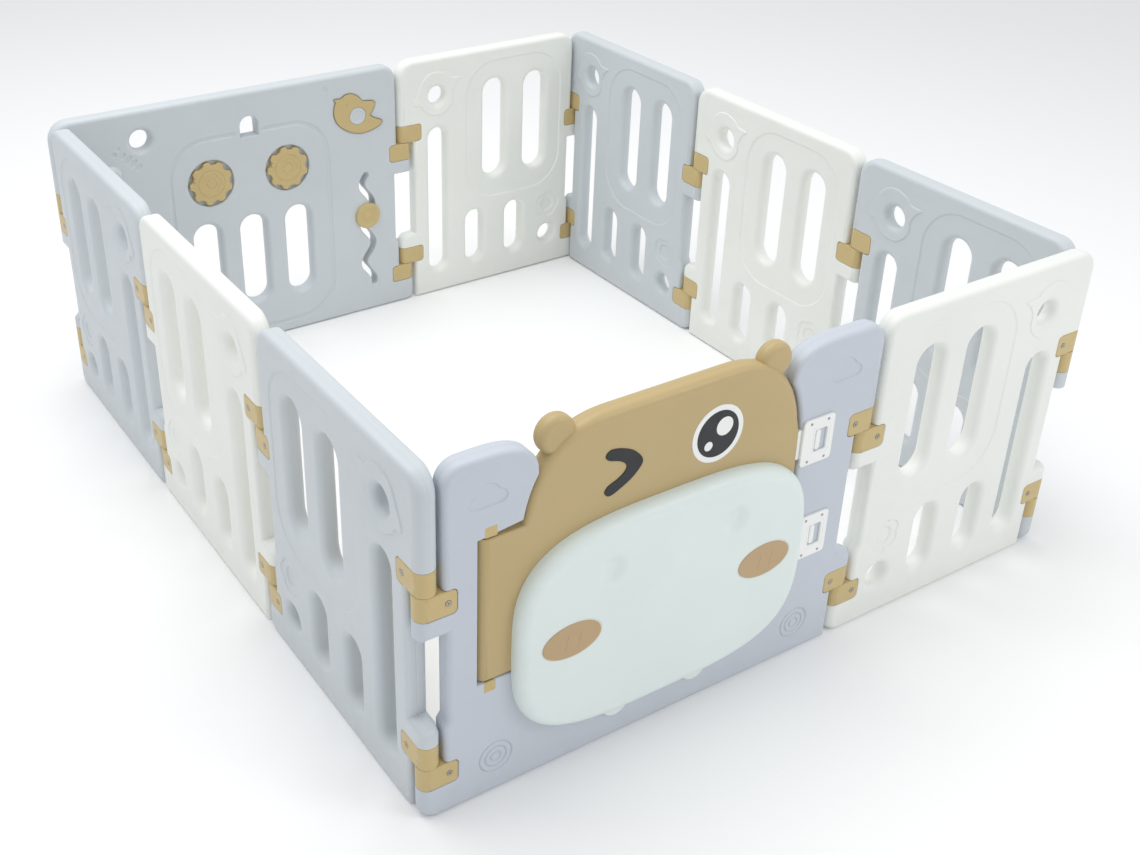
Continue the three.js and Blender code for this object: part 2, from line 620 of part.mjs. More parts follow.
/** A star gear with its axle and the button that keeps it in the panel. */
function gear(side) {
  const x = boardX(GEARS[side]);
  const floor = INNER - GEAR_POCKET.deep + 2 * FIT_GAP;
  const step = 360 / GEAR.teeth;
  const teeth = Array.from({ length: GEAR.teeth }, (_, i) => [
    arc(x, GEAR.z, GEAR.root, i * step - 3, i * step + 3, 1),
    arc(x, GEAR.z, GEAR.tip, (i + 0.5) * step - 4, (i + 0.5) * step + 4, 1),
  ]).flat(2);
  const star = plate(polygon(teeth), floor, floor + GEAR.thick);
  const axle = plate(ellipse(x, GEAR.z, AXLE.r, AXLE.r, 12), OUTER - AXLE.buttonThick, floor + 1);
  const button = plate(ellipse(x, GEAR.z, AXLE.button), OUTER - AXLE.buttonThick, OUTER - FIT_GAP);
  const [[pegX, pegZ]] = arc(x, GEAR.z, GEAR.pegOut, step / 2, step / 2, 1);
  const peg = plate(ellipse(pegX, pegZ, GEAR.peg, GEAR.peg, 8), floor + 1, floor + GEAR.thick + GEAR.pegHigh);
  return piece(`gear_${side}`, joined([star, axle, button, peg]), KHAKI);
}

/** The disc that slides in the wavy slot, with its stem and back disc. */
function waveSlider() {
  const x = boardX(waveX(SLIDER.z));
  const disc = (r, low, high) => plate(ellipse(x, SLIDER.z, r, r, r > 10 ? 20 : 10), low, high);
  return piece('wave_slider', joined([
    disc(SLIDER.r, INNER + FIT_GAP, INNER + FIT_GAP + SLIDER.thick),
    disc(SLIDER.stem, OUTER - SLIDER.backThick, INNER + 1),
    disc(SLIDER.back, OUTER - SLIDER.backThick, OUTER - FIT_GAP),
  ]), KHAKI);
}

// ---- the ring ----

/** Adds pieces as one wall section whose left hinge axis is at (x, y), turned about the vertical. */
function placed(x, y, quarterTurns, meshes) {
  const section = new THREE.Group();
  section.position.set(x, y, 0);
  section.rotation.z = (quarterTurns * Math.PI) / 2;
  section.add(...meshes);
  return section;
}

const frontRight = GATE_PITCH + PANEL_PITCH;
const sideLength = SIDE_PANELS * PANEL_PITCH;
const playpen = new THREE.Group();
playpen.name = 'playpen';

const doorParts = [
  doorLeaf(), hingeBlock('upper'), hingeBlock('lower'), snoutPanel(),
  cheek('cheek_left', -CHEEK.out), cheek('cheek_right', CHEEK.out), ...eyePieces(), winkMark(),
  ...['upper', 'lower'].flatMap((level) => [latchPlate(level), latchBolt(level)]),
];
playpen.add(placed(0, 0, 0, [...gateFrame(), ...doorParts]));
playpen.add(placed(GATE_PITCH, 0, 0, regularPanel('front_panel', WHITE)));
for (let i = 0; i < SIDE_PANELS; i += 1) {
  const look = i % 2 === 0 ? GREY : WHITE;
  const along = i * PANEL_PITCH;
  playpen.add(placed(frontRight, along, 1, regularPanel(`right_panel_${i + 1}`, look)));
  playpen.add(placed(0, sideLength - along, 3, regularPanel(`left_panel_${SIDE_PANELS - i}`, look)));
}
playpen.add(placed(frontRight, sideLength, 2, regularPanel('back_panel', WHITE)));
const boardParts = [gear('left'), gear('right'), birdInlay(), waveSlider()];
playpen.add(placed(GATE_PITCH, sideLength, 2, [...activityPanel(), ...boardParts]));

const box = new THREE.Box3().setFromObject(playpen, true);
const middle = box.getCenter(new THREE.Vector3());
const group = new THREE.Group();
group.name = 'playpen_set';
playpen.position.set(-middle.x, -middle.y, -box.min.z);
group.add(playpen);

export default group;
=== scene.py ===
# %% [markdown]
# # A folding playpen of blow-moulded panels
# The real pen is ten hollow plastic panels. Each is blown inside a mould, so every edge is soft, every
# opening is pinched through with a wide flare, and pictures are pressed a millimetre or two into the skin.
# The part's exact solids give the sizes and the joints. This script gives each piece its moulded surface.

# %% Load the part
import math

import bmesh
import bpy
import numpy as np
from mathutils import Euler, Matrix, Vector
from mathutils.geometry import delaunay_2d_cdt


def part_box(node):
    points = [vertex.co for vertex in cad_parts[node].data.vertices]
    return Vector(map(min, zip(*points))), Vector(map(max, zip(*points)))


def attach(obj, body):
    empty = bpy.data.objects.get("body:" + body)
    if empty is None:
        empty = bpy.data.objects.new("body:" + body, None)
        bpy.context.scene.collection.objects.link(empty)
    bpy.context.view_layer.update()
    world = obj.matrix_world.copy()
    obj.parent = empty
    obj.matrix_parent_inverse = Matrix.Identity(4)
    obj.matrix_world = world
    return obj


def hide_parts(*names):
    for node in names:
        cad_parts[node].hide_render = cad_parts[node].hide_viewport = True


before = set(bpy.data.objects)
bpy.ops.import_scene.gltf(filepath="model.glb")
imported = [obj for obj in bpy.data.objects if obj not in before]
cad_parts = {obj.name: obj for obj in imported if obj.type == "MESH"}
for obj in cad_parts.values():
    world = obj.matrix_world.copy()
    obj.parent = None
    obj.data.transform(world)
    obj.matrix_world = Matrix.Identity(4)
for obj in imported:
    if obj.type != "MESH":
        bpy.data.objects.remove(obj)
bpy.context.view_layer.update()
MM = 0.001
print("nodes in the part:", len(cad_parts))

# %% [markdown]
# ## Sizes
# All shapes are drawn in millimetres as a flat panel seen from outside: x runs right from the left hinge
# axis, z runs up, and y is the depth from the middle of the plate. They are named once here, because the
# hinge caps, the panels and the screws all have to agree on them.

# %% Name the sizes that several pieces share
PITCH = 512
WIDE_PITCH = 824
HEIGHT = 618
HALF = 18  # half a panel's thickness, and the radius of its hinge column
EDGE = 23  # from a hinge axis to the plate's straight edge
LEFT_WAIST, RIGHT_WAIST = 30, 24  # the same between the two hinge groups
WAIST_LOW, WAIST_HIGH = 173, 345
SEAMS = (100, 420)  # where one panel's cap rests on its neighbour's
CAP = 42  # a cap's height
CAP_REACH = 44
SEAM_GAP = 0.4
SOFT = 9  # rounding of a moulded edge
CRISP = 1.2  # rounding of an edge that meets a cap
SCREW_FROM_AXIS = 29

gate_low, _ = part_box("gate_frame")
ORIGIN = (-HALF - gate_low.x / MM, -HALF - gate_low.y / MM)
SIDE = 3 * PITCH
FRONT = WIDE_PITCH + PITCH
SECTIONS = {"gate": (0, 0, 0), "front_panel": (WIDE_PITCH, 0, 0), "back_panel": (FRONT, SIDE, 2),
            "activity": (WIDE_PITCH, SIDE, 2)}
for step in range(3):
    SECTIONS[f"right_panel_{step + 1}"] = (FRONT, step * PITCH, 1)
    SECTIONS[f"left_panel_{3 - step}"] = (0, SIDE - step * PITCH, 3)
print("the gate's hinge axis is", [round(v, 2) for v in ORIGIN], "mm from the middle")


def in_ring(section, points):
    """Moves panel-local millimetres to their place in the ring, in metres."""
    x, y, turns = SECTIONS[section]
    p = np.asarray(points, float)
    c, s = ((1, 0), (0, 1), (-1, 0), (0, -1))[turns]
    return np.stack([x + c * p[:, 0] - s * p[:, 1] - ORIGIN[0],
                     y + s * p[:, 0] + c * p[:, 1] - ORIGIN[1], p[:, 2]], 1) * MM


# %% [markdown]
# ## Flat loops
# Every outline and opening is a counter-clockwise loop of (x, z) points. The one clever helper is `inset`,
# which slides each side of a loop inwards by its own distance and finds the new corners. It turns one outline
# into the family of rings that a rounded edge needs, and lets a hinge column round more than the edge beside
# it.

# %% Draw loops
def arc(x, z, r, start, end, steps=8):
    turn = np.radians(np.linspace(start, end, steps + 1))
    return np.stack([x + r * np.cos(turn), z + r * np.sin(turn)], 1)


def ellipse(x, z, wide, tall=None, steps=40):
    turn = np.linspace(0, 2 * np.pi, steps, endpoint=False)
    return np.stack([x + wide * np.cos(turn), z + (tall or wide) * np.sin(turn)], 1)


def box_loop(left, low, right, high, r, steps=8):
    return np.concatenate([arc(left + r, low + r, r, 180, 270, steps),
                           arc(right - r, low + r, r, 270, 360, steps),
                           arc(right - r, high - r, r, 0, 90, steps),
                           arc(left + r, high - r, r, 90, 180, steps)])


def slot(x, half, low, high):
    return np.concatenate([arc(x, high - half, half, 0, 180, 16), arc(x, low + half, half, 180, 360, 16)])


def quarter(x, z, wide, tall, power, steps=20):
    """A quarter of a superellipse, from its right side up to its top."""
    turn = np.linspace(0, np.pi / 2, steps + 1)
    return np.stack([x + wide * np.cos(turn).clip(0) ** (2 / power),
                     z + tall * np.sin(turn) ** (2 / power)], 1)


def flipped(points, middle):
    """The mirror image across x = middle, in the order that keeps a loop counter-clockwise."""
    return np.stack([2 * middle - points[:, 0], points[:, 1]], 1)[::-1]


def superellipse(x, z, wide, tall, power):
    top = quarter(0, 0, wide, tall, power)
    half = np.concatenate([top, flipped(top, 0)[1:]])
    return np.concatenate([half[:-1], -half[:-1]]) + (x, z)


def smooth_loop(points, per_side=5):
    """A closed curve through the points."""
    p = np.asarray(points, float)
    t = np.linspace(0, 1, per_side, endpoint=False)[:, None]
    a, b, c, d = np.roll(p, 1, 0), p, np.roll(p, -1, 0), np.roll(p, -2, 0)
    curves = [0.5 * (2 * b[i] + (c[i] - a[i]) * t + (2 * a[i] - 5 * b[i] + 4 * c[i] - d[i]) * t**2
                     + (3 * b[i] - a[i] - 3 * c[i] + d[i]) * t**3) for i in range(len(p))]
    return np.concatenate(curves)


def ribbon(path, half):
    """A counter-clockwise loop that runs up one side of a path and back down the other, with round ends."""
    p = np.asarray(path, float)
    half = np.broadcast_to(half, len(p))[:, None]
    along = np.gradient(p, axis=0)
    along /= np.linalg.norm(along, axis=1)[:, None]
    right = np.stack([along[:, 1], -along[:, 0]], 1)
    facing = math.degrees(math.atan2(along[-1, 1], along[-1, 0]))
    start = math.degrees(math.atan2(along[0, 1], along[0, 0]))
    return np.concatenate([(p + right * half)[1:-1], arc(*p[-1], half[-1, 0], facing - 90, facing + 90),
                           (p - right * half)[1:-1][::-1], arc(*p[0], half[0, 0], start + 90, start + 270)])


def inset(loop, distance):
    """Slides each side of a counter-clockwise loop inwards by its own distance."""
    p = np.asarray(loop, float)
    along = np.roll(p, -1, 0) - p
    inward = np.stack([-along[:, 1], along[:, 0]], 1) / np.linalg.norm(along, axis=1)[:, None]
    d = np.array(np.broadcast_to(distance, len(p)), float)
    before, d_before = np.roll(inward, 1, 0), np.roll(d, 1)
    turn = (before * inward).sum(1)
    gentle = turn > 0.9
    spread = np.where(gentle, 1, 1 - turn**2)
    a = np.where(gentle, (d + d_before) / 2 / (1 + turn), (d_before - turn * d) / spread)
    b = np.where(gentle, (d + d_before) / 2 / (1 + turn), (d - turn * d_before) / spread)
    return p + before * a[:, None] + inward * b[:, None]


# %% [markdown]
# ## A moulded skin
# A `Skin` is one face of a piece, built as rings of points joined by strips, with flat fields between them.
# The fields are filled with a constrained triangulation, then triangles that lie in a hole are dropped by
# counting how many rings surround them. This keeps the flat areas cheap and spends the faces on the curves.

# %% Build skins
class Skin:
    def __init__(self):
        self.points, self.edge, self.faces, self.field = [], [], [], []

    def ring(self, loop, depth, edge=0.0):
        start = len(self.points)
        self.points += [(x, depth, z) for x, z in loop]
        self.edge += [edge] * len(loop)
        return range(start, start + len(loop))

    def strips(self, rings):
        for a, b in zip(rings, rings[1:]):
            n = len(a)
            self.faces += [(a[i], a[(i + 1) % n], b[(i + 1) % n], b[i]) for i in range(n)]

    def outline(self, loop, radii, back, front, parting=0.0):
        """The piece's side, from its back up to its front, and the rounding over to the front."""
        radii = np.array(np.broadcast_to(radii, len(loop)), float)
        tall = front - back
        rise = back + tall * np.sin(np.linspace(0, np.pi / 2, 11))
        rings = [self.ring(inset(loop, parting), back)]
        for depth in ([back + 2 * parting] if parting else []) + list(rise[1:]):
            climbed = np.clip(depth - (front - radii), 0, radii)
            come_in = radii - np.sqrt(radii**2 - climbed**2)
            rings.append(self.ring(inset(loop, come_in), depth, float((climbed / radii).mean())))
        rings.append(self.ring(inset(loop, radii + 1), front))
        self.strips(rings)
        self.field.append(rings[-1])
        return rings[0]

    def opening(self, loop, flare, depth, front, throat=0.0):
        """A hole through the piece whose mouth flares out to the front by a quarter round."""
        rings = [self.ring(loop, throat)]
        for t in np.linspace(0, np.pi / 2, 8):
            rings.append(self.ring(inset(loop, flare * (math.cos(t) - 1)), front - depth * (1 - math.sin(t)),
                                   0.6 * math.sin(2 * t)))
        rings.append(self.ring(inset(loop, -flare - 1), front))
        self.strips(rings)
        self.field.append(rings[-1])
        return rings[0]

    def relief(self, loop, profile, front):
        """Rings that follow a loop inwards; the profile lists (distance in, depth below the front)."""
        rings = [self.ring(inset(loop, d), front - down) for d, down in profile]
        self.strips(rings)
        self.field += [rings[0], rings[-1]]

    def fill(self, rings=None):
        """Triangulates between the rings, keeping what an odd number of them surrounds."""
        rings = self.field if rings is None else rings
        order = [i for ring in rings for i in ring]
        flat = np.array([(self.points[i][0], self.points[i][2]) for i in order])
        sides, start = [], 0
        for ring in rings:
            n = len(ring)
            sides += [(start + i, start + (i + 1) % n) for i in range(n)]
            start += n
        made, _, faces, origin, _, _ = delaunay_2d_cdt([Vector(p) for p in flat], sides, [], 1, 1e-5, True)
        assert len(made) == len(flat), "two rings of a skin cross"
        corner = flat[[origin[i][0] for f in faces for i in f]].reshape(-1, 3, 2)
        x, z = corner.mean(1).T[:, :, None]
        (xa, za), (xb, zb) = flat[[a for a, _ in sides]].T, flat[[b for _, b in sides]].T
        level = np.where(zb == za, 1, zb - za)
        crossed = ((za > z) != (zb > z)) & (x < xa + (z - za) / level * (xb - xa))
        odd = crossed.sum(1) % 2 == 1
        self.faces += [tuple(order[origin[i][0]] for i in f) for f, keep in zip(faces, odd) if keep]


def step_profile(depth, width=4, base=0.0):
    """The edge of a field pressed in by a depth, with a soft S-shaped wall."""
    t = np.linspace(0, 1, 6)
    wall = [(width * v, base + depth * (3 * v**2 - 2 * v**3)) for v in t]
    return [(-1, base), *wall, (width + 1, base + depth)]


def groove_profile(depth, width, base=0.0):
    t = np.linspace(0, 1, 9)
    wall = [(width * v, base + depth * math.sin(math.pi * v) ** 2) for v in t]
    return [(-1, base), *wall, (width + 1, base)]


def joined(skins):
    """Skins as one set of arrays; each skin comes with the sign of its depth and a shift in depth."""
    points, edge, faces = [], [], []
    for skin, sign, shift in skins:
        start = len(points)
        points += [(x, sign * y + shift, z) for x, y, z in skin.points]
        edge += skin.edge
        faces += [tuple(i + start for i in f) for f in skin.faces]
    return np.array(points), np.array(edge), faces


OUTSIDE, INSIDE = -1, 1


def plate(outline, radii, openings=(), outer=(), inner=(), half=HALF, shift=0.0, parting=0.3):
    """A two-sided moulding. Openings are (loop, flare, base depth); outer and inner list (loop, profile)."""
    skins = []
    for side, reliefs in ((OUTSIDE, outer), (INSIDE, inner)):
        skin = Skin()
        skin.outline(outline, radii, 0, half, parting)
        for loop, flare, base in openings:
            skin.opening(loop, flare, half - base - 4, half - base)
        for loop, profile in reliefs:
            skin.relief(loop, profile, half)
        skin.fill()
        skins.append((skin, side, shift))
    return joined(skins)


def pad(outline, back, front, rounding, holes=(), reliefs=(), side=OUTSIDE):
    """A piece that stands on a face: a side, a rounded front and a flat back, in depths from the middle."""
    skin = Skin()
    floor = [skin.outline(outline, rounding, back, front)]
    for loop in holes:
        floor.append(skin.opening(loop, rounding, rounding, front, back))
    for loop, profile in reliefs:
        skin.relief(loop, profile, front)
    skin.fill()
    skin.fill(floor)
    return joined([(skin, side, 0)])


# %% [markdown]
# ## From arrays to pieces
# Each piece is written straight into its place in the ring, so its object stays at the origin and its
# materials can read object coordinates. An `edge` attribute marks the rounded corners, where handling wears
# the surface and where a painted highlight makes the colour paler.

# %% Make piece objects
BODY = {"gate": "gate_frame", "activity": "activity_panel"}
WELD = 0.001 * MM
SHARP_ANGLE = 50
made_pieces = []


def merged(parts):
    points, edges, faces = [], [], []
    for p, e, f in parts:
        start = sum(len(v) for v in points)
        points.append(p)
        edges.append(e)
        faces += [tuple(i + start for i in face) for face in f]
    return np.concatenate(points), np.concatenate(edges), faces


def placed(name, data):
    """A new object in the scene that holds the data."""
    obj = bpy.data.objects.new(name, data)
    bpy.context.scene.collection.objects.link(obj)
    return obj


def smoothed(mesh, sharp, weld=None):
    """Faces the mesh outwards and shades it smooth, up to the angle that reads as a real corner."""
    work = bmesh.new()
    work.from_mesh(mesh)
    if weld:
        bmesh.ops.remove_doubles(work, verts=work.verts, dist=weld)
    bmesh.ops.recalc_face_normals(work, faces=work.faces)
    work.to_mesh(mesh)
    work.free()
    mesh.shade_smooth()
    mesh.set_sharp_from_angle(angle=math.radians(sharp))


def piece(name, section, part, material, body=None, replaces=()):
    points, edge, faces = part
    mesh = bpy.data.meshes.new(name)
    mesh.from_pydata(in_ring(section, points).tolist(), [], faces)
    mesh.attributes.new("edge", "FLOAT", "POINT").data.foreach_set("value", edge.astype(np.float32))
    smoothed(mesh, SHARP_ANGLE, WELD)
    mesh.materials.append(material)
    obj = placed(name, mesh)
    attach(obj, body or BODY.get(section, section))
    if replaces:
        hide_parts(*replaces)
    made_pieces.append(obj)
    return obj


# %% [markdown]
# ## Plastic
# All the pieces are polyethylene from a sand-blasted mould: satin, with a grain too fine to see from across a
# room but enough to soften a highlight. Two shared node groups do the work. `mould_skin` gives grain, slight
# flow mottling and floor dust; the second group turns the edge attribute into patchy polish from handling and
# a painted highlight, a paler colour on the rounded corners.

# %% Build the shared shader groups
def group(name, inputs, outputs):
    tree = bpy.data.node_groups.new(name, "ShaderNodeTree")
    for direction, sockets in (("INPUT", inputs), ("OUTPUT", outputs)):
        for label, kind, default in sockets:
            socket = tree.interface.new_socket(label, in_out=direction, socket_type=f"NodeSocket{kind}")
            if default is not None:
                socket.default_value = default
    return tree, tree.nodes.new("NodeGroupInput"), tree.nodes.new("NodeGroupOutput")


def noise(tree, vector, scale, detail=2.0):
    node = tree.nodes.new("ShaderNodeTexNoise")
    node.inputs["Scale"].default_value = scale
    node.inputs["Detail"].default_value = detail
    tree.links.new(vector, node.inputs["Vector"])
    return node.outputs["Fac"]


def remap(tree, value, low, high, to_low, to_high):
    node = tree.nodes.new("ShaderNodeMapRange")
    for key, number in (("From Min", low), ("From Max", high), ("To Min", to_low), ("To Max", to_high)):
        node.inputs[key].default_value = number
    tree.links.new(value, node.inputs["Value"])
    return node.outputs["Result"]


def maths(tree, operation, *values):
    node = tree.nodes.new("ShaderNodeMath")
    node.operation = operation
    for socket, value in zip(node.inputs, values):
        if isinstance(value, (int, float)):
            socket.default_value = value
        else:
            tree.links.new(value, socket)
    return node.outputs["Value"]


def tinted(tree, factor, colour, other, mode="MIX"):
    node = tree.nodes.new("ShaderNodeMix")
    node.data_type = "RGBA"
    node.blend_type = mode
    for socket, value in ((node.inputs["Factor"], factor), (node.inputs[6], colour), (node.inputs[7], other)):
        if isinstance(value, (int, float, tuple)):
            socket.default_value = value
        else:
            tree.links.new(value, socket)
    return node.outputs[2]


skin_group, skin_in, skin_out = group(
    "mould_skin",
    [("Position", "Vector", None), ("Colour", "Color", (0.8, 0.8, 0.8, 1)), ("Roughness", "Float", 0.5),
     ("Mottle", "Float", 0.03), ("Dust", "Float", 0.1)],
    [("Colour", "Color", None), ("Roughness", "Float", None), ("Height", "Float", None)])
place = skin_in.outputs["Position"]
flow = remap(skin_group, noise(skin_group, place, 5.0, 4.0), 0.3, 0.7, -1.0, 1.0)
cloud = noise(skin_group, place, 38.0, 3.0)
grain = noise(skin_group, place, 1500.0, 1.0)
dimple = noise(skin_group, place, 420.0, 2.0)
height_axis = skin_group.nodes.new("ShaderNodeSeparateXYZ")
skin_group.links.new(place, height_axis.inputs["Vector"])
near_floor = remap(skin_group, height_axis.outputs["Z"], 0.0, 0.1, 1.0, 0.0)
settled = maths(skin_group, "MULTIPLY", near_floor, cloud)
dust = maths(skin_group, "MULTIPLY", settled, skin_in.outputs["Dust"])
brightness = maths(skin_group, "MULTIPLY_ADD", flow, skin_in.outputs["Mottle"], 1.0)
even = skin_group.nodes.new("ShaderNodeHueSaturation")
skin_group.links.new(skin_in.outputs["Colour"], even.inputs["Color"])
skin_group.links.new(brightness, even.inputs["Value"])
dusty = tinted(skin_group, dust, even.outputs["Color"], (0.42, 0.39, 0.34, 1))
uneven = remap(skin_group, cloud, 0.3, 0.7, -0.05, 0.06)
rough = maths(skin_group, "ADD", skin_in.outputs["Roughness"], uneven)
skin_group.links.new(dusty, skin_out.inputs["Colour"])
skin_group.links.new(maths(skin_group, "ADD", rough, dust), skin_out.inputs["Roughness"])
skin_group.links.new(maths(skin_group, "MULTIPLY_ADD", dimple, 0.6, grain), skin_out.inputs["Height"])

# The edge mask below is partly real wear (a smoother polish) and partly painted highlight (a paler colour on
# the rounded corners, standing in for light on them).
wear_and_sheen_group, wear_and_sheen_in, wear_and_sheen_out = group(
    "handling_and_edge_sheen",
    [("Position", "Vector", None), ("Edge", "Float", 0.0), ("Amount", "Float", 0.5)],
    [("Mask", "Float", None)])
patches = remap(wear_and_sheen_group, noise(wear_and_sheen_group, wear_and_sheen_in.outputs["Position"], 60.0, 5.0), 0.45, 0.62, 0.0, 1.0)
worn_and_sheen = maths(wear_and_sheen_group, "MULTIPLY", maths(wear_and_sheen_group, "POWER", wear_and_sheen_in.outputs["Edge"], 2.0), patches)
wear_and_sheen_group.links.new(maths(wear_and_sheen_group, "MULTIPLY", worn_and_sheen, wear_and_sheen_in.outputs["Amount"]), wear_and_sheen_out.inputs["Mask"])


def linear(code):
    """A linear colour from a six-digit screen colour."""
    c = np.array([int(code[i:i + 2], 16) for i in (0, 2, 4)]) / 255
    c = np.where(c <= 0.04045, c / 12.92, ((c + 0.055) / 1.055) ** 2.4)
    return (*map(float, c), 1.0)


def use(tree, shared, **inputs):
    node = tree.nodes.new("ShaderNodeGroup")
    node.node_tree = shared
    for key, value in inputs.items():
        socket = node.inputs[key]
        if isinstance(value, (int, float, tuple)):
            socket.default_value = value
        else:
            tree.links.new(value, socket)
    return node.outputs


PAINTED_HIGHLIGHT_GAIN, PAINTED_HIGHLIGHT_LIFT = 1.03, 0.004  # painted highlight: how much paler the colour of a rounded corner is made
WEAR_POLISH = 0.15  # how much smoother
GRAIN_DEPTH = 0.4 * MM


def plastic(name, code, roughness=0.45, mottle=0.02, dust=0.12, wear_and_sheen=0.5, bump=0.12):
    material = bpy.data.materials.new(name)
    material.use_nodes = True
    tree = material.node_tree
    shader = tree.nodes["Principled BSDF"]
    where = tree.nodes.new("ShaderNodeTexCoord").outputs["Object"]
    edge = tree.nodes.new("ShaderNodeAttribute")
    edge.attribute_name = "edge"
    colour = linear(code)
    wear_and_sheen_mask = use(tree, wear_and_sheen_group, Position=where, Edge=edge.outputs["Fac"], Amount=wear_and_sheen)["Mask"]
    skin = use(tree, skin_group, Position=where, Colour=colour, Roughness=roughness, Mottle=mottle, Dust=dust)
    # Painted highlight: the rounded corners are mixed towards this paler colour.
    painted_highlight = tuple(min(1.0, v * PAINTED_HIGHLIGHT_GAIN + PAINTED_HIGHLIGHT_LIFT) for v in colour[:3]) + (1.0,)
    tree.links.new(tinted(tree, wear_and_sheen_mask, skin["Colour"], painted_highlight), shader.inputs["Base Color"])
    polish = maths(tree, "MULTIPLY", wear_and_sheen_mask, WEAR_POLISH)
    tree.links.new(maths(tree, "SUBTRACT", skin["Roughness"], polish), shader.inputs["Roughness"])
    relief = tree.nodes.new("ShaderNodeBump")
    relief.inputs["Strength"].default_value = bump
    relief.inputs["Distance"].default_value = GRAIN_DEPTH
    tree.links.new(skin["Height"], relief.inputs["Height"])
    tree.links.new(relief.outputs["Normal"], shader.inputs["Normal"])
    shader.inputs["Specular IOR Level"].default_value = 0.45
    return material


GREY = plastic("panel_grey", "c8ced2")
WHITE = plastic("panel_white", "e9ebe6")
GATE_GREY = plastic("gate_grey", "c3c9d2")
KHAKI = plastic("khaki_door", "bda778", 0.42)
KHAKI_HARD = plastic("khaki_cap", "c6b07c", 0.36, wear_and_sheen=0.7, bump=0.06)
CHEEK = plastic("khaki_cheek", "bb9f78", 0.4)
SNOUT = plastic("snout_white", "dfe9e6", 0.4)
TRIM = plastic("white_trim", "f0f1ef", 0.34, wear_and_sheen=0.3, bump=0.04)
BLACK = plastic("black_trim", "1b1e22", 0.38, wear_and_sheen=0.3, bump=0.04)

# %% [markdown]
# ## Hinge edges
# The two hinge edges are the same on every panel. The left edge owns the column below each seam and the
# right edge the column above it, so panels interleave like a door hinge. Each list gives a corner and the
# rounding of the side that starts there: a column side rounds by half the thickness, which makes it a half
# cylinder.

# %% List the corners of the hinge edges
COLUMN_END = 6
BLOCK_ROUND = 9  # the outer corner of the block above the lower cap
CAP_CORNER = 8
SEAT_GAP = 0.7


def seat(flange_x, low, high, side):
    """The recess for a cap's flanges, with the cap's round corners, from the first height to the second."""
    r = CAP_CORNER + SEAT_GAP
    x = flange_x + side * r
    z_low, z_high = low - SEAT_GAP + r, high + SEAT_GAP - r
    if side > 0:
        corners = [arc(x, z_low, r, 270, 180, 5), arc(x, z_high, r, 180, 90, 5)]
    else:
        corners = [arc(x, z_high, r, 90, 0, 5), arc(x, z_low, r, 0, -90, 5)]
    return [(*p, CRISP) for p in np.concatenate(corners)]


def right_edge(pitch):
    """Corners up the right-hand edge, as (x, z, rounding)."""
    plate_x, waist_x, out_x = pitch - EDGE, pitch - RIGHT_WAIST, pitch + HALF
    flange_x = pitch - CAP_REACH - SEAT_GAP
    first, second = SEAMS
    top = BLOCK_ROUND
    return [(plate_x, 0, SOFT), (plate_x, first - SEAT_GAP, CRISP), *seat(flange_x, first, first + CAP, 1),
            (out_x, first + CAP + SEAT_GAP, HALF), (out_x, WAIST_LOW - top, HALF),
            (out_x - top, WAIST_LOW, SOFT), (waist_x, WAIST_LOW + 3, SOFT), (waist_x, WAIST_HIGH, SOFT),
            (plate_x, WAIST_HIGH + 2, SOFT), (plate_x, second - SEAT_GAP, CRISP),
            *seat(flange_x, second, second + CAP, 1), (out_x, second + CAP + SEAT_GAP, HALF)]


def left_edge():
    """Corners down the left-hand edge, ending at the start of the rounded bottom corner."""
    flange_x = CAP_REACH + SEAT_GAP
    first, second = SEAMS
    return [(EDGE, second + SEAT_GAP, CRISP), *seat(flange_x, second - CAP, second, -1),
            (-HALF, second - CAP - SEAT_GAP, HALF), (-HALF, WAIST_HIGH, COLUMN_END),
            (LEFT_WAIST, WAIST_HIGH, SOFT), (LEFT_WAIST, WAIST_LOW + 4, SOFT), (EDGE, WAIST_LOW - 6, SOFT),
            (EDGE, first + SEAT_GAP, CRISP), *seat(flange_x, first - CAP, first, -1),
            (-HALF, first - CAP - SEAT_GAP, HALF)]


def rounded_corner(x, z, r, start, from_rounding, to_rounding, steps=10):
    """A quarter arc whose edge rounding changes steadily along it."""
    points = arc(x, z, r, start, start + 90, steps)
    radii = np.linspace(from_rounding, to_rounding, steps + 1)
    return [(*p, r) for p, r in zip(points, radii)]


TOP_R = 42
LEFT_TOP_R = 34
BOTTOM_R = 24


def panel_outline(pitch, top=()):
    """The whole silhouette: the hinge edges, rounded corners and whatever the top edge does between them."""
    corners = [*rounded_corner(BOTTOM_R - HALF, BOTTOM_R, BOTTOM_R, 180, HALF, SOFT), *right_edge(pitch),
               *rounded_corner(pitch + HALF - TOP_R, HEIGHT - TOP_R, TOP_R, 0, HALF, SOFT), *top,
               *rounded_corner(EDGE + LEFT_TOP_R, HEIGHT - LEFT_TOP_R, LEFT_TOP_R, 90, SOFT, SOFT),
               *left_edge()]
    table = np.array(corners)
    return table[:, :2], table[:, 2]


# %% [markdown]
# ## Regular panels
# Eight panels come from one mould. Slots and two round holes are pinched through it, a rounded field around
# the upper slots is pressed in, and so are a little bird round the upper hole and a flower above the lower
# one. Building the arrays once and writing them eight times keeps the panels alike, as moulded panels are.

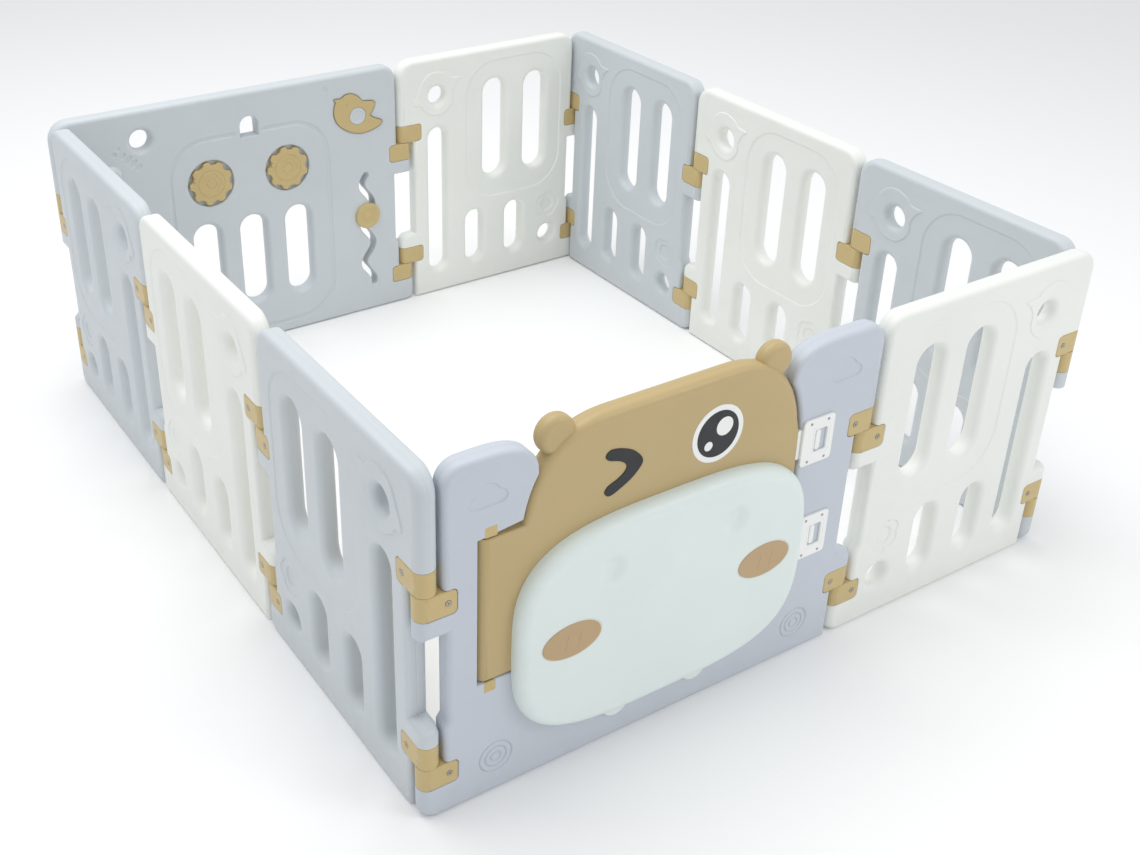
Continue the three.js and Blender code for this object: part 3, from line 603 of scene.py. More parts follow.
# %% Build the regular panel
FLARE = 12
FIELD_DEPTH = 1.8
FIELD = (58, 229, 342, 588, 88)  # left, low, right, high and corner radius
UPPER_SLOT_XS, UPPER_SLOT = (136, 256), (31, 285, 537)  # a slot is its half width, low end and high end
LOWER_SLOT_XS, LOWER_SLOT = (195, 314), (24, 62, 200)
LONG_SLOT_X, LONG_SLOT = 421, (24, 62, 440)
PORTHOLE_R = 22
BIRD_AT, BIRD_SIZE = (420, 522), 0.92
FLOWER_HOLE = (90, 88)
FLOWER_AT, FLOWER_R, FLOWER_EYE_R, FLOWER_EYE_DEPTH = (90, 172), 37, 21, 3.0
PICTURE_DEPTH = 2.0
PETALS = 5


def scaled(points, x, z, size):
    return np.asarray(points, float) * size + (x, z)


def picture(loop, depth=PICTURE_DEPTH, width=2.5):
    return loop, step_profile(depth, width)


def petals(x, z, r, count, swell):
    turn = np.linspace(0, 2 * np.pi, 16 * count, endpoint=False)
    reach = r * (1 - swell + swell * np.abs(np.sin(turn * count / 2)) ** 0.6)
    return np.stack([x + reach * np.cos(turn), z + reach * np.sin(turn)], 1)


HOLE_BIRD = smooth_loop([(-46, 8), (-58, 30), (-70, 40), (-52, 42), (-40, 44), (-26, 56), (0, 64),
                         (26, 60), (44, 44), (56, 20), (70, -12), (50, -20), (40, -34), (16, -48),
                         (-12, -48), (-34, -34), (-46, -14)])

regular_outline = panel_outline(PITCH)
regular_holes = [(slot(x, *UPPER_SLOT), FLARE, FIELD_DEPTH) for x in UPPER_SLOT_XS]
regular_holes += [(slot(LONG_SLOT_X, *LONG_SLOT), FLARE + 1, 0)]
regular_holes += [(slot(x, *LOWER_SLOT), FLARE + 1, 0) for x in LOWER_SLOT_XS]
regular_holes += [(ellipse(*FLOWER_HOLE, PORTHOLE_R), FLARE + 2, 0),
                  (ellipse(*BIRD_AT, PORTHOLE_R), FLARE + 1, PICTURE_DEPTH)]
regular_reliefs = [
    (box_loop(*FIELD, 14), step_profile(FIELD_DEPTH)),
    picture(scaled(HOLE_BIRD, *BIRD_AT, BIRD_SIZE)),
    picture(petals(*FLOWER_AT, FLOWER_R, PETALS, 0.16)),
    (ellipse(*FLOWER_AT, FLOWER_EYE_R), step_profile(FLOWER_EYE_DEPTH, 5, PICTURE_DEPTH)),
]
regular = plate(*regular_outline, regular_holes, regular_reliefs, regular_reliefs)
print("a regular panel has", len(regular[2]), "faces")

WHITE_PANELS = ("front_panel", "back_panel", "right_panel_2", "left_panel_2")
panels = [name for name in SECTIONS if name.endswith("_panel") or "_panel_" in name]
for name in panels:
    white = name in WHITE_PANELS
    piece(f"{name}_shell", name, regular, WHITE if white else GREY, replaces=[name])

# %% [markdown]
# ## Hinge caps
# Khaki caps wrap the columns on both sides of every seam. The upper one holds a socket and the lower one a
# pin, so a panel lifts off. A cap is a plate with one column side, and a screw sits in a dish in its outer
# flange.

# %% Build the caps
SCREW_DISH, DISH_DEPTH = 6.2, 1.4
CAP_SOFT = 2.0


def cap(axis, low, side):
    """One cap; side is +1 when its flanges reach right, as on a panel's left edge."""
    high = low + CAP - SEAM_GAP
    near, far = -HALF, CAP_REACH
    r = CAP_CORNER
    flange = np.concatenate([arc(far - r, low + r, r, 270, 360, 4), arc(far - r, high - r, r, 0, 90, 4)])
    corners = [(near, low, CAP_SOFT), *[(*p, CAP_SOFT) for p in flange], (near, high, HALF)]
    table = np.array(corners)
    loop, radii = table[:, :2], table[:, 2]
    if side < 0:
        loop = flipped(loop, 0)
        radii = np.roll(radii[::-1], -1)
    screw_at = (side * SCREW_FROM_AXIS, (low + high) / 2)
    dish = (ellipse(*screw_at, SCREW_DISH, steps=24), step_profile(DISH_DEPTH, 1.6))
    points, edge, faces = plate(loop, radii, outer=[dish], parting=0.0)
    return points + (axis, 0, 0), edge, faces


def caps_of(pitch):
    upper = [cap(pitch, seam + SEAM_GAP, -1) for seam in SEAMS]
    lower = [cap(0, seam - CAP, 1) for seam in SEAMS]
    return merged(upper + lower)


pitches = [*((p, PITCH) for p in panels), ("gate", WIDE_PITCH), ("activity", WIDE_PITCH)]
for name, pitch in pitches:
    piece(f"{name}_caps", name, caps_of(pitch), KHAKI_HARD,
          replaces=[f"{name}_hinge_cap_lower", f"{name}_hinge_cap_upper"])

# %% [markdown]
# ## Gate frame
# The gate frame is a panel with a doorway: two posts that lean over the door and a sill. A cloud is pressed
# into each post and rings like a raindrop's into each lower corner. Its doorway follows the door's own curves
# a few millimetres further out, so both are drawn from the same quarter superellipse.

# %% Build the gate frame
MIDDLE = WIDE_PITCH / 2
HEAD_CORNER, HEAD_Z, HEAD_WIDE, HEAD_TALL, HEAD_POWER = 102, 420, 158, 202, 2.5
DOOR_GAP = 3
DOOR_LOW = 100
DOOR_STEP = 150
DOOR_FOOT_R = 95
BARREL_X, BARREL_LOW, BARREL_HIGH = 98, 228, 482
POST_FLAT = 92
BULGE = 565


def head_curve(grow):
    return quarter(MIDDLE + HEAD_CORNER, HEAD_Z, HEAD_WIDE + grow, HEAD_TALL + grow, HEAD_POWER, 28)


def door_foot(grow):
    """The door's two lower corners from left to right, behind the snout, grown outwards."""
    r = DOOR_FOOT_R + grow
    left = DOOR_STEP + DOOR_FOOT_R
    right = MIDDLE + HEAD_CORNER + HEAD_WIDE - DOOR_FOOT_R
    low = DOOR_LOW + DOOR_FOOT_R
    return np.concatenate([arc(left, low, r, 180, 270, 12), arc(right, low, r, 270, 360, 12)])


door_side = head_curve(DOOR_GAP)
door_side = door_side[door_side[:, 1] <= BULGE]
tip = door_side[-1, 0]
bend = np.linspace(0, 1, 14)[1:, None]
shoulder = ((1 - bend) ** 2 * (tip, BULGE) + 2 * bend * (1 - bend) * (tip, HEIGHT)
            + bend**2 * (WIDE_PITCH - POST_FLAT, HEIGHT))
right_post = np.concatenate([door_side, shoulder])
left_post = flipped(right_post, MIDDLE)
left_post = left_post[left_post[:, 1] > BARREL_HIGH + DOOR_GAP]
DOORWAY = 7  # rounding of the doorway
STEP_SOFT = 3
barrel_left = BARREL_X - HALF - DOOR_GAP
step_left = DOOR_STEP - DOOR_GAP
doorway = [(x, z, DOORWAY) for x, z in right_post[::-1]]
doorway += [(*corner, DOORWAY) for corner in door_foot(DOOR_GAP)[::-1]]
doorway += [(step_left, BARREL_LOW - DOOR_GAP, STEP_SOFT), (barrel_left, BARREL_LOW - DOOR_GAP, STEP_SOFT),
            (barrel_left, BARREL_HIGH + DOOR_GAP, STEP_SOFT)]
doorway += [(x, z, DOORWAY) for x, z in left_post[::-1]]

CLOUD_XS, CLOUD_Z = (93, 757), 556
RIPPLES_AT, RIPPLE_RADII = ((110, 70), (716, 66)), (31, 21, 11)
CLOUD = smooth_loop([(-22, -20), (0, -20), (24, -19), (33, -10), (29, 1), (20, 7), (14, 14), (4, 20),
                     (-8, 20), (-16, 12), (-20, 4), (-30, 0), (-33, -11)])
gate_reliefs = [picture(scaled(CLOUD, x, CLOUD_Z, 1)) for x in CLOUD_XS]
for x, z in RIPPLES_AT:
    gate_reliefs += [(ellipse(x, z, r), groove_profile(2.0, 4.4)) for r in RIPPLE_RADII]
gate = plate(*panel_outline(WIDE_PITCH, doorway), (), gate_reliefs, gate_reliefs)
piece("gate_frame_shell", "gate", gate, GATE_GREY, replaces=["gate_frame"])

# %% [markdown]
# ## Door
# The door is the animal's head. Its left edge carries the hinge barrel, another half cylinder, and the two
# ears are thinner discs set into its top. Soft rounding on top is what makes it read as a head.

# %% Build the door
CROWN_SOFT = 12  # rounding of the top of the head
LEAF_SOFT = 6  # rounding of the door below it
LEFT_SOFT = 8  # rounding of the left side, just above the barrel
RIGHT_CROWN, LEFT_CROWN = 470, 500  # the heights where the crown's rounding starts
BARREL_END = 3
BARREL_CLEAR = 8
STIFFENER = (190, 136, 634, 470, 80)  # left, low, right, high and corner radius
EAR_OUT, EAR_Z, EAR_R = 200, 606, 31
EAR_HALF, EAR_SOFT, EAR_BACK = 14, 11, 2
right_side = head_curve(0)
left_side = flipped(right_side, MIDDLE)
left_side = left_side[left_side[:, 1] > BARREL_HIGH + BARREL_CLEAR]
leaf = [(x, z, LEAF_SOFT) for x, z in door_foot(0)]
leaf += [(x, z, LEAF_SOFT if z < RIGHT_CROWN else CROWN_SOFT) for x, z in right_side]
leaf += [(x, z, CROWN_SOFT if z > LEFT_CROWN else LEFT_SOFT) for x, z in left_side]
leaf += [(left_side[-1, 0] - 4, BARREL_HIGH, BARREL_END), (BARREL_X - HALF, BARREL_HIGH, HALF),
         (BARREL_X - HALF, BARREL_LOW, BARREL_END), (DOOR_STEP, BARREL_LOW, LEAF_SOFT)]
leaf = np.array(leaf)
stiffener = (box_loop(*STIFFENER, 12), step_profile(3, 8))
door = plate(leaf[:, :2], leaf[:, 2], (), (), [stiffener])
ears = [plate(ellipse(MIDDLE + out, EAR_Z, EAR_R, steps=48), EAR_SOFT, half=EAR_HALF, shift=EAR_BACK)
        for out in (-EAR_OUT, EAR_OUT)]
piece("gate_door_shell", "gate", merged([door, *ears]), KHAKI, "gate_door", ["gate_door"])

# %% [markdown]
# ## Face
# The snout is a separate white moulding screwed to the door, rounded deeply at its rim and with two
# thumb-sized nostrils. The eye, the wink and the cheeks are flat inlays. Each stands a fraction of a
# millimetre above the last, as stacked inlays do, so no two surfaces share a plane.

# %% Build the face
FACE = HALF  # the door's outer face, as a depth from the middle
SNOUT_BACK, SNOUT_FRONT = FACE + 0.3, FACE + 26.3
SNOUT_Z, SNOUT_WIDE, SNOUT_TALL, SNOUT_POWER, SNOUT_SOFT = 262, 278, 190, 3.4, 20
CHEEK_OUT, CHEEK_Z, CHEEK_WIDE, CHEEK_TALL = 187, 265, 53, 31
CHEEK_SEAM = 2.6
NOSTRIL_OUT, NOSTRIL_Z, NOSTRIL_WIDE, NOSTRIL_TALL = 118, 367, 32, 33
NOSTRIL_RUN, NOSTRIL_DEPTH = 24, 7
TAB_OUT, TAB_Z, TAB_R, TAB_THICK = 80, 73, 25, 6

nostril = [(-1, 0)]
for t in np.linspace(0, 1, 11):
    nostril.append((2 + NOSTRIL_RUN * t, NOSTRIL_DEPTH * (1 - math.cos(math.pi * t)) / 2))
snout_reliefs = [(ellipse(MIDDLE + out, NOSTRIL_Z, NOSTRIL_WIDE, NOSTRIL_TALL, 48), nostril)
                 for out in (-NOSTRIL_OUT, NOSTRIL_OUT)]
snout_reliefs += [(ellipse(MIDDLE + out, CHEEK_Z, CHEEK_WIDE + CHEEK_SEAM, CHEEK_TALL + CHEEK_SEAM, 64),
                   groove_profile(0.9, 3.6)) for out in (-CHEEK_OUT, CHEEK_OUT)]
snout = pad(superellipse(MIDDLE, SNOUT_Z, SNOUT_WIDE, SNOUT_TALL, SNOUT_POWER), SNOUT_BACK, SNOUT_FRONT,
            SNOUT_SOFT, reliefs=snout_reliefs)
tabs = [pad(ellipse(MIDDLE + out, TAB_Z, TAB_R, TAB_R, 40), SNOUT_BACK, SNOUT_BACK + TAB_THICK, 4)
        for out in (-TAB_OUT, TAB_OUT)]
piece("snout", "gate", merged([snout, *tabs]), SNOUT, "gate_door", ["snout_panel"])

for side, out in (("left", -CHEEK_OUT), ("right", CHEEK_OUT)):
    x = MIDDLE + out
    bars = [(ribbon([(x + d - 2, CHEEK_Z - 11), (x + d, CHEEK_Z), (x + d + 2, CHEEK_Z + 11)], 3.6),
             step_profile(0.7, 1.6)) for d in (-12, 12)]
    cheek = pad(ellipse(x, CHEEK_Z, CHEEK_WIDE, CHEEK_TALL, 64), SNOUT_FRONT - 3, SNOUT_FRONT + 1, 1.6,
                reliefs=bars)
    piece(f"cheek_{side}_inlay", "gate", cheek, CHEEK, "gate_door", [f"cheek_{side}"])

EYE_X, EYE_Z = MIDDLE + 84.5, 522
EYE_DISCS = (("eye_white", (0, 0, 49, 0.9), TRIM, "white_trim", "eye_ring"),
             ("eye_dark", (0, 0, 40, 1.1), BLACK, "black_trim", "eye_iris"),
             ("eye_glint_big", (12, 10, 16, 1.3), TRIM, "white_trim", "eye_glint_large"),
             ("eye_glint_little", (-17, -17, 8, 1.3), TRIM, "white_trim", "eye_glint_small"))
for name, (across, up, r, rise), material, slot_name, node in EYE_DISCS:
    disc = pad(ellipse(EYE_X + across, EYE_Z + up, r, steps=64), FACE - 1, FACE + rise, 0.4)
    piece(name, "gate", disc, material, "gate_door", [node])

WINK = smooth_loop([(298, 481), (316, 487), (341, 502), (356, 523), (341, 544), (318, 556), (297, 560),
                    (288, 552), (294, 543), (313, 536), (325, 527), (325, 517), (313, 507), (295, 499),
                    (289, 489)], 8)
wink = pad(WINK, FACE - 1, FACE + 1.2, 0.5)
piece("wink", "gate", wink, BLACK, "gate_door", ["wink_mark"])

# %% [markdown]
# ## Latches and door hinge blocks
# Two white plates cover the bolts. An oval grip shows through each plate's window, and the bolt's tongue
# reaches from behind the plate to the door's edge. The khaki blocks above and below the barrel hold the
# door's pins.

# %% Build the latches
LATCHES = {"upper": (708, 442), "lower": (726, 250)}
COVER_WIDE, COVER_TALL = 33, 42.5  # half sizes
COVER_BACK, COVER_FRONT = FACE + 0.3, FACE + 4.3
WINDOW_LEFT, WINDOW_RIGHT, WINDOW_TALL = 7, 19, 21  # from the plate's middle
RIM = 6
BAR_LEFT, BAR_RIGHT, BAR_TALL = 667, 23, 27.5
BAR_FRONT, BAR_THICK = FACE - 0.4, 6
GRIP_X, GRIP_HALF, GRIP_TALL, GRIP_FRONT = 1.5, 5.5, 19, FACE + 2.9
for level, (x, z) in LATCHES.items():
    window = box_loop(x - WINDOW_LEFT, z - WINDOW_TALL, x + WINDOW_RIGHT, z + WINDOW_TALL, 4, 5)
    around = box_loop(x - WINDOW_LEFT - RIM, z - WINDOW_TALL - RIM, x + WINDOW_RIGHT + RIM,
                      z + WINDOW_TALL + RIM, 8, 6)
    plate_loop = box_loop(x - COVER_WIDE, z - COVER_TALL, x + COVER_WIDE, z + COVER_TALL, 7, 6)
    cover = pad(plate_loop, COVER_BACK, COVER_FRONT, 1.2, [window], [(around, groove_profile(0.7, 2.4))])
    piece(f"latch_cover_{level}", "gate", cover, TRIM, "gate_frame", [f"latch_plate_{level}"])
    bar_loop = box_loop(BAR_LEFT, z - BAR_TALL, x + BAR_RIGHT, z + BAR_TALL, 3.5, 4)
    bar = pad(bar_loop, BAR_FRONT - BAR_THICK, BAR_FRONT, 1)
    grip = pad(slot(x + GRIP_X, GRIP_HALF, z - GRIP_TALL, z + GRIP_TALL), FACE - 1, GRIP_FRONT, 2)
    piece(f"latch_bolt_{level}_bar", "gate", merged([bar, grip]), TRIM, f"latch_bolt_{level}",
          [f"latch_bolt_{level}"])

BLOCK_HALF, BLOCK_TALL, BLOCK_BACK = 11.5, 20, -12
DOOR_PIN_R, PIN_IN_BARREL, PIN_IN_BLOCK = 5, 8, 2
for end, low in (("upper", BARREL_HIGH + DOOR_GAP), ("lower", BARREL_LOW - DOOR_GAP - BLOCK_TALL)):
    block_loop = box_loop(BARREL_X - BLOCK_HALF, low, BARREL_X + BLOCK_HALF, low + BLOCK_TALL, 4, 4)
    block = pad(block_loop, BLOCK_BACK, FACE + 0.2, 2)
    if end == "upper":
        pin_ends = (BARREL_HIGH - PIN_IN_BARREL, low + PIN_IN_BLOCK)
    else:
        pin_ends = (low + BLOCK_TALL - PIN_IN_BLOCK, BARREL_LOW + PIN_IN_BARREL)
    pin_loop = box_loop(BARREL_X - DOOR_PIN_R, pin_ends[0], BARREL_X + DOOR_PIN_R, pin_ends[1], 4, 4)
    pin = pad(pin_loop, -DOOR_PIN_R, DOOR_PIN_R, 2.5)
    piece(f"door_hinge_{end}", "gate", merged([block, pin]), KHAKI_HARD, "gate_frame",
          [f"door_hinge_block_{end}"])

# %% [markdown]
# ## Activity panel
# This panel faces into the pen, so its pictures and toys are drawn from the child's side and mirrored into
# the panel's own x. A moulded groove frames the gears and slots, with an arched hole breaking it at the top.

# %% Build the activity panel
def board(loop):
    """A loop drawn from the child's side, in the panel's own x."""
    return flipped(np.asarray(loop, float), WIDE_PITCH / 2)


def board_x(x):
    return WIDE_PITCH - x


WAVE_X, WAVE_LOW, WAVE_HIGH, WAVE_HALF = 715, 75, 360, 6.5
WAVE_SWING, WAVE_LENGTH, WAVE_CREST = 13, 103, 285


def wave_at(z):
    """The middle of the wavy slot at a height, from the child's side."""
    return WAVE_X + WAVE_SWING * np.cos((z - WAVE_CREST) / WAVE_LENGTH * 2 * np.pi)


wave_z = np.linspace(WAVE_LOW, WAVE_HIGH, 60)
wave = board(ribbon(np.stack([wave_at(wave_z), wave_z], 1), WAVE_HALF))

BOARD_SLOT_XS, BOARD_SLOT = (304, 418, 532), (31, 102, 320)
BOARD_HOLE = (174, 549)
ARCH_X, ARCH_R, ARCH_LOW, ARCH_MIDDLE = 425, 20, 513, 538
arch = np.concatenate([[(ARCH_X - ARCH_R, ARCH_LOW), (ARCH_X + ARCH_R, ARCH_LOW)],
                       arc(ARCH_X, ARCH_MIDDLE, ARCH_R, 0, 180, 14)])
board_holes = [(board(slot(x, *BOARD_SLOT)), FLARE, 0) for x in BOARD_SLOT_XS]
board_holes += [(board(ellipse(*BOARD_HOLE, PORTHOLE_R)), FLARE, 0), (board(arch), 4, 0), (wave, 3, 0)]

GEAR_Z, GEAR_XS = 420, {"left": 324, "right": 512}
WELL_R = 55
WELL = [(-4, 0), (-3, 0), (-1, 0.4), (0, 1.6), (0.4, 9.4), (1, 9.6)]
gear_wells = [(board(ellipse(x, GEAR_Z, WELL_R, steps=64)), WELL) for x in GEAR_XS.values()]

RAIL_LEFT, RAIL_RIGHT, RAIL_LOW, RAIL_HIGH, RAIL_R = 318, 526, 120, 434, 90  # the corner arcs' middles
RAIL_ENDS, RAIL_HALF = (385, 458), 6.5
RAIL = [(-1, 0), (0, 0), (1.2, 0.5), (2.6, 1.6), (4.2, 2.2), (5.2, 2.3)]
rail_top = RAIL_HIGH + RAIL_R
left_half = np.concatenate([[(RAIL_ENDS[0], rail_top)], arc(RAIL_LEFT, RAIL_HIGH, RAIL_R, 90, 180, 14),
                            arc(RAIL_LEFT, RAIL_LOW, RAIL_R, 180, 270, 14)])
right_half = np.concatenate([arc(RAIL_RIGHT, RAIL_LOW, RAIL_R, 270, 360, 14),
                             arc(RAIL_RIGHT, RAIL_HIGH, RAIL_R, 0, 90, 14), [(RAIL_ENDS[1], rail_top)]])
rail_path = np.concatenate([left_half, right_half])
travelled = np.linalg.norm(np.diff(rail_path, axis=0), axis=1).cumsum()
evenly = np.linspace(0, travelled[-1], 150)
travelled = np.concatenate([[0], travelled])
rail_path = np.stack([np.interp(evenly, travelled, rail_path[:, i]) for i in (0, 1)], 1)
rail = (board(ribbon(rail_path, RAIL_HALF)), RAIL)

FEELERS = ((122, 540, 5.5), (112, 528, 6.5))  # x, z and radius
BODY_RINGS = (9, 12, 12, 10)
BODY_FROM, BODY_STEP, BODY_HALF = (130, 523), (11.2, -10.7), 5.8
LEAN = np.array([[0.64, 0.77], [0.77, -0.64]])  # the body's rings lean up and to the right
caterpillar = [picture(board(ellipse(x, z, r, steps=20)), 1.6, 2) for x, z, r in FEELERS]
for step, tall in enumerate(BODY_RINGS):
    ring_at = np.add(BODY_FROM, np.multiply(BODY_STEP, step))
    ring = ellipse(0, 0, tall, BODY_HALF, 24)[::-1] @ LEAN + ring_at
    caterpillar.append(picture(board(ring), 1.6, 2))
SEED = (615, 589, 8)
board_inner = [*gear_wells, rail, *caterpillar, (board(ellipse(*SEED)), step_profile(1.5, 3))]
activity = plate(*panel_outline(WIDE_PITCH), board_holes, (), board_inner)
KNOB = (100, 482, 24)
knob = pad(board(ellipse(*KNOB, steps=48)), HALF - 1, HALF + 12, 11, side=INSIDE)
piece("activity_shell", "activity", merged([activity, knob]), GREY, replaces=["activity_panel"])

# %% [markdown]
# ## Toys
# Star gears turn on axles that run through the panel to a button on the outside. The disc slides in its wavy
# slot. The bird is an inlay with the panel's own boss showing through as its wing.

# %% Build the toys
TEETH = 9
GEAR_ROOT, GEAR_TIP = 43.5, 51
GEAR_BACK, GEAR_FRONT = 8.6, 20.2
PEG_OUT, PEG_R, PEG_FRONT = 40, 4, 25.2
AXLE_R, BUTTON_R, BUTTON_FRONT = 8, 16, HALF + 5
FACE_GAP = 0.3  # between a panel's face and what turns or slides on it


def star(x, z, root, tip, steps=TEETH * 14):
    turn = np.linspace(0, 2 * np.pi, steps, endpoint=False)
    wave = np.tanh(2.2 * np.cos(turn * TEETH)) / math.tanh(2.2)
    reach = (root + tip) / 2 + (tip - root) / 2 * wave
    return np.stack([x + reach * np.cos(turn), z + reach * np.sin(turn)], 1)


for side, child_x in GEAR_XS.items():
    x = board_x(child_x)
    grooves = [(ellipse(x, GEAR_Z, r, steps=48), groove_profile(1.0, 3.0)) for r in (33, 13)]
    grooves += [(petals(x, GEAR_Z, 25, PETALS, 0.22), step_profile(0.9, 2))]
    teeth = star(x, GEAR_Z, GEAR_ROOT, GEAR_TIP)
    wheel = pad(teeth, GEAR_BACK, GEAR_FRONT, 1.6, reliefs=grooves, side=INSIDE)
    peg_turn = math.pi / TEETH
    peg_x, peg_z = x + PEG_OUT * math.cos(peg_turn), GEAR_Z + PEG_OUT * math.sin(peg_turn)
    peg = pad(ellipse(peg_x, peg_z, PEG_R, steps=24), GEAR_FRONT - 1.2, PEG_FRONT, 2, side=INSIDE)
    axle = pad(ellipse(x, GEAR_Z, AXLE_R, steps=24), -HALF, GEAR_BACK + 0.4, 0.5, side=INSIDE)
    button = pad(ellipse(x, GEAR_Z, BUTTON_R, steps=40), HALF + FACE_GAP, BUTTON_FRONT, 3)
    piece(f"gear_{side}_wheel", "activity", merged([wheel, peg, axle, button]), KHAKI_HARD, f"gear_{side}",
          [f"gear_{side}"])

SLIDER_Z = 257
SLIDER_R, SLIDER_THICK = 32, 8
STEM_R, BACK_DISC_R = 4, 22
slider_at = (board_x(wave_at(SLIDER_Z)), SLIDER_Z)
rings = [(ellipse(*slider_at, 24, steps=48), step_profile(1.8, 4)),
         (ellipse(*slider_at, 10, steps=32), [(-1, 1.8), (0, 1.8), (1.5, 1.0), (3, 0.2), (4, 0.0)])]
slider = [pad(ellipse(*slider_at, SLIDER_R, steps=64), HALF + FACE_GAP, HALF + FACE_GAP + SLIDER_THICK, 3,
              reliefs=rings, side=INSIDE),
          pad(ellipse(*slider_at, STEM_R, steps=16), -HALF - 1, HALF + 1, 0.4, side=INSIDE),
          pad(ellipse(*slider_at, BACK_DISC_R, steps=48), HALF + FACE_GAP, BUTTON_FRONT, 2.4)]
piece("wave_slider_disc", "activity", merged(slider), KHAKI_HARD, "wave_slider", ["wave_slider"])

BIRD_CENTRE = (697, 512)
BIRD_EYE = (668, 542, 3.4)
WING_HOLE_R, WING_R, WING_DISH_R = 21.3, 20.8, 15
bird_loop = smooth_loop([(-58, 48), (-42, 47.6), (-31, 54.2), (-16, 55), (-3, 49), (7, 40), (13, 33),
                         (30, 31), (43, 27), (44, 20), (38, 8), (31, -3.5), (43, -13), (61, -21),
                         (59, -28.5), (43, -36), (22, -41), (0, -40.5), (-24, -32), (-46, -16), (-57, 1),
                         (-60, 17), (-57, 34), (-53, 41)][::-1], 4)
bird_loop = board(scaled(bird_loop, *BIRD_CENTRE, 1.0))[::-1]
eye = (board(ellipse(*BIRD_EYE, steps=16)), step_profile(0.8, 1))
wing_hole = board(ellipse(*BIRD_CENTRE, WING_HOLE_R, steps=48))
bird = pad(bird_loop, HALF - 2.7, HALF + 2.3, 1.4, [wing_hole], [eye], INSIDE)
piece("bird", "activity", bird, KHAKI_HARD, "activity_panel", ["bird_inlay"])
wing_dish = (board(ellipse(*BIRD_CENTRE, WING_DISH_R)), step_profile(1.2, 3))
wing = pad(board(ellipse(*BIRD_CENTRE, WING_R, steps=48)), HALF - 1, HALF + 2.1, 1.6, reliefs=[wing_dish],
           side=INSIDE)
piece("bird_wing", "activity", wing, GREY, "activity_panel")

# %% [markdown]
# ## Screws
# Every cap and latch cover is held by small cross-head screws. One screw is modelled, and Geometry Nodes puts
# a copy on each marked point, turned by a random amount because nobody lines screws up. The result is
# applied, so each body carries a plain mesh.

# %% Place the screws
steel = bpy.data.materials.new("screw_steel")
steel.use_nodes = True
steel_tree = steel.node_tree
steel_shader = steel_tree.nodes["Principled BSDF"]
steel_shader.inputs["Metallic"].default_value = 1.0
steel_where = steel_tree.nodes.new("ShaderNodeTexCoord").outputs["Object"]
steel_skin = use(steel_tree, skin_group, Position=steel_where, Colour=linear("a9a8a4"), Roughness=0.36,
                 Mottle=0.12, Dust=0.05)
steel_tree.links.new(steel_skin["Colour"], steel_shader.inputs["Base Color"])
steel_tree.links.new(steel_skin["Roughness"], steel_shader.inputs["Roughness"])

HEAD_R, HEAD_TALL, HEAD_ROUND = 4.2, 1.7, 1.1
SCREW_SHARP_ANGLE = 35
CROSS_SIZE, CROSS_DEPTH = 0.5525, 1.1
cross = np.array([(1, -1), (3, -1), (3, 1), (1, 1), (1, 3), (-1, 3), (-1, 1), (-3, 1), (-3, -1), (-1, -1),
                  (-1, -3), (1, -3)]) * CROSS_SIZE
cross_wall = [(-0.1, 0), (0, 0), (0.15, CROSS_DEPTH), (0.25, CROSS_DEPTH)]
head_points, _, head_faces = pad(ellipse(0, 0, HEAD_R, steps=28), 0, HEAD_TALL, HEAD_ROUND,
                                 reliefs=[(cross, cross_wall)], side=INSIDE)
screw_mesh = bpy.data.meshes.new("screw_head")
screw_mesh.from_pydata((head_points[:, [0, 2, 1]] * MM * (1, -1, 1)).tolist(), [], head_faces)
smoothed(screw_mesh, SCREW_SHARP_ANGLE)
screw_source = placed("screw_source", screw_mesh)

screw_tree = bpy.data.node_groups.new("screws_on_points", "GeometryNodeTree")
sockets = {}
given_kinds = {"Geometry": "Geometry", "Screw": "Object", "Size": "Float", "Material": "Material"}
for label, kind in given_kinds.items():
    made = screw_tree.interface.new_socket(label, in_out="INPUT", socket_type=f"NodeSocket{kind}")
    sockets[label] = made.identifier
screw_tree.interface.new_socket("Geometry", in_out="OUTPUT", socket_type="NodeSocketGeometry")
nodes, links = screw_tree.nodes, screw_tree.links
given, result = nodes.new("NodeGroupInput"), nodes.new("NodeGroupOutput")
facing = nodes.new("GeometryNodeInputNamedAttribute")
facing.data_type = "FLOAT_VECTOR"
facing.inputs["Name"].default_value = "facing"
aim = nodes.new("FunctionNodeAlignRotationToVector")
aim.axis = "Z"
links.new(facing.outputs["Attribute"], aim.inputs["Vector"])
spin = nodes.new("FunctionNodeRandomValue")
spin.inputs["Max"].default_value = 1.0
spin_vector = nodes.new("ShaderNodeCombineXYZ")
quarter_turn = nodes.new("ShaderNodeMath")
quarter_turn.operation = "MULTIPLY"
quarter_turn.inputs[1].default_value = math.pi / 2
links.new(spin.outputs[1], quarter_turn.inputs[0])
links.new(quarter_turn.outputs[0], spin_vector.inputs["Z"])
turned = nodes.new("FunctionNodeRotateRotation")
turned.rotation_space = "LOCAL"
to_rotation = nodes.new("FunctionNodeEulerToRotation")
links.new(spin_vector.outputs["Vector"], to_rotation.inputs["Euler"])
links.new(aim.outputs["Rotation"], turned.inputs["Rotation"])
links.new(to_rotation.outputs["Rotation"], turned.inputs["Rotate By"])
info = nodes.new("GeometryNodeObjectInfo")
links.new(given.outputs["Screw"], info.inputs["Object"])
copies = nodes.new("GeometryNodeInstanceOnPoints")
links.new(given.outputs["Geometry"], copies.inputs["Points"])
links.new(info.outputs["Geometry"], copies.inputs["Instance"])
links.new(turned.outputs["Rotation"], copies.inputs["Rotation"])
links.new(given.outputs["Size"], copies.inputs["Scale"])
real = nodes.new("GeometryNodeRealizeInstances")
paint = nodes.new("GeometryNodeSetMaterial")
links.new(copies.outputs["Instances"], real.inputs["Geometry"])
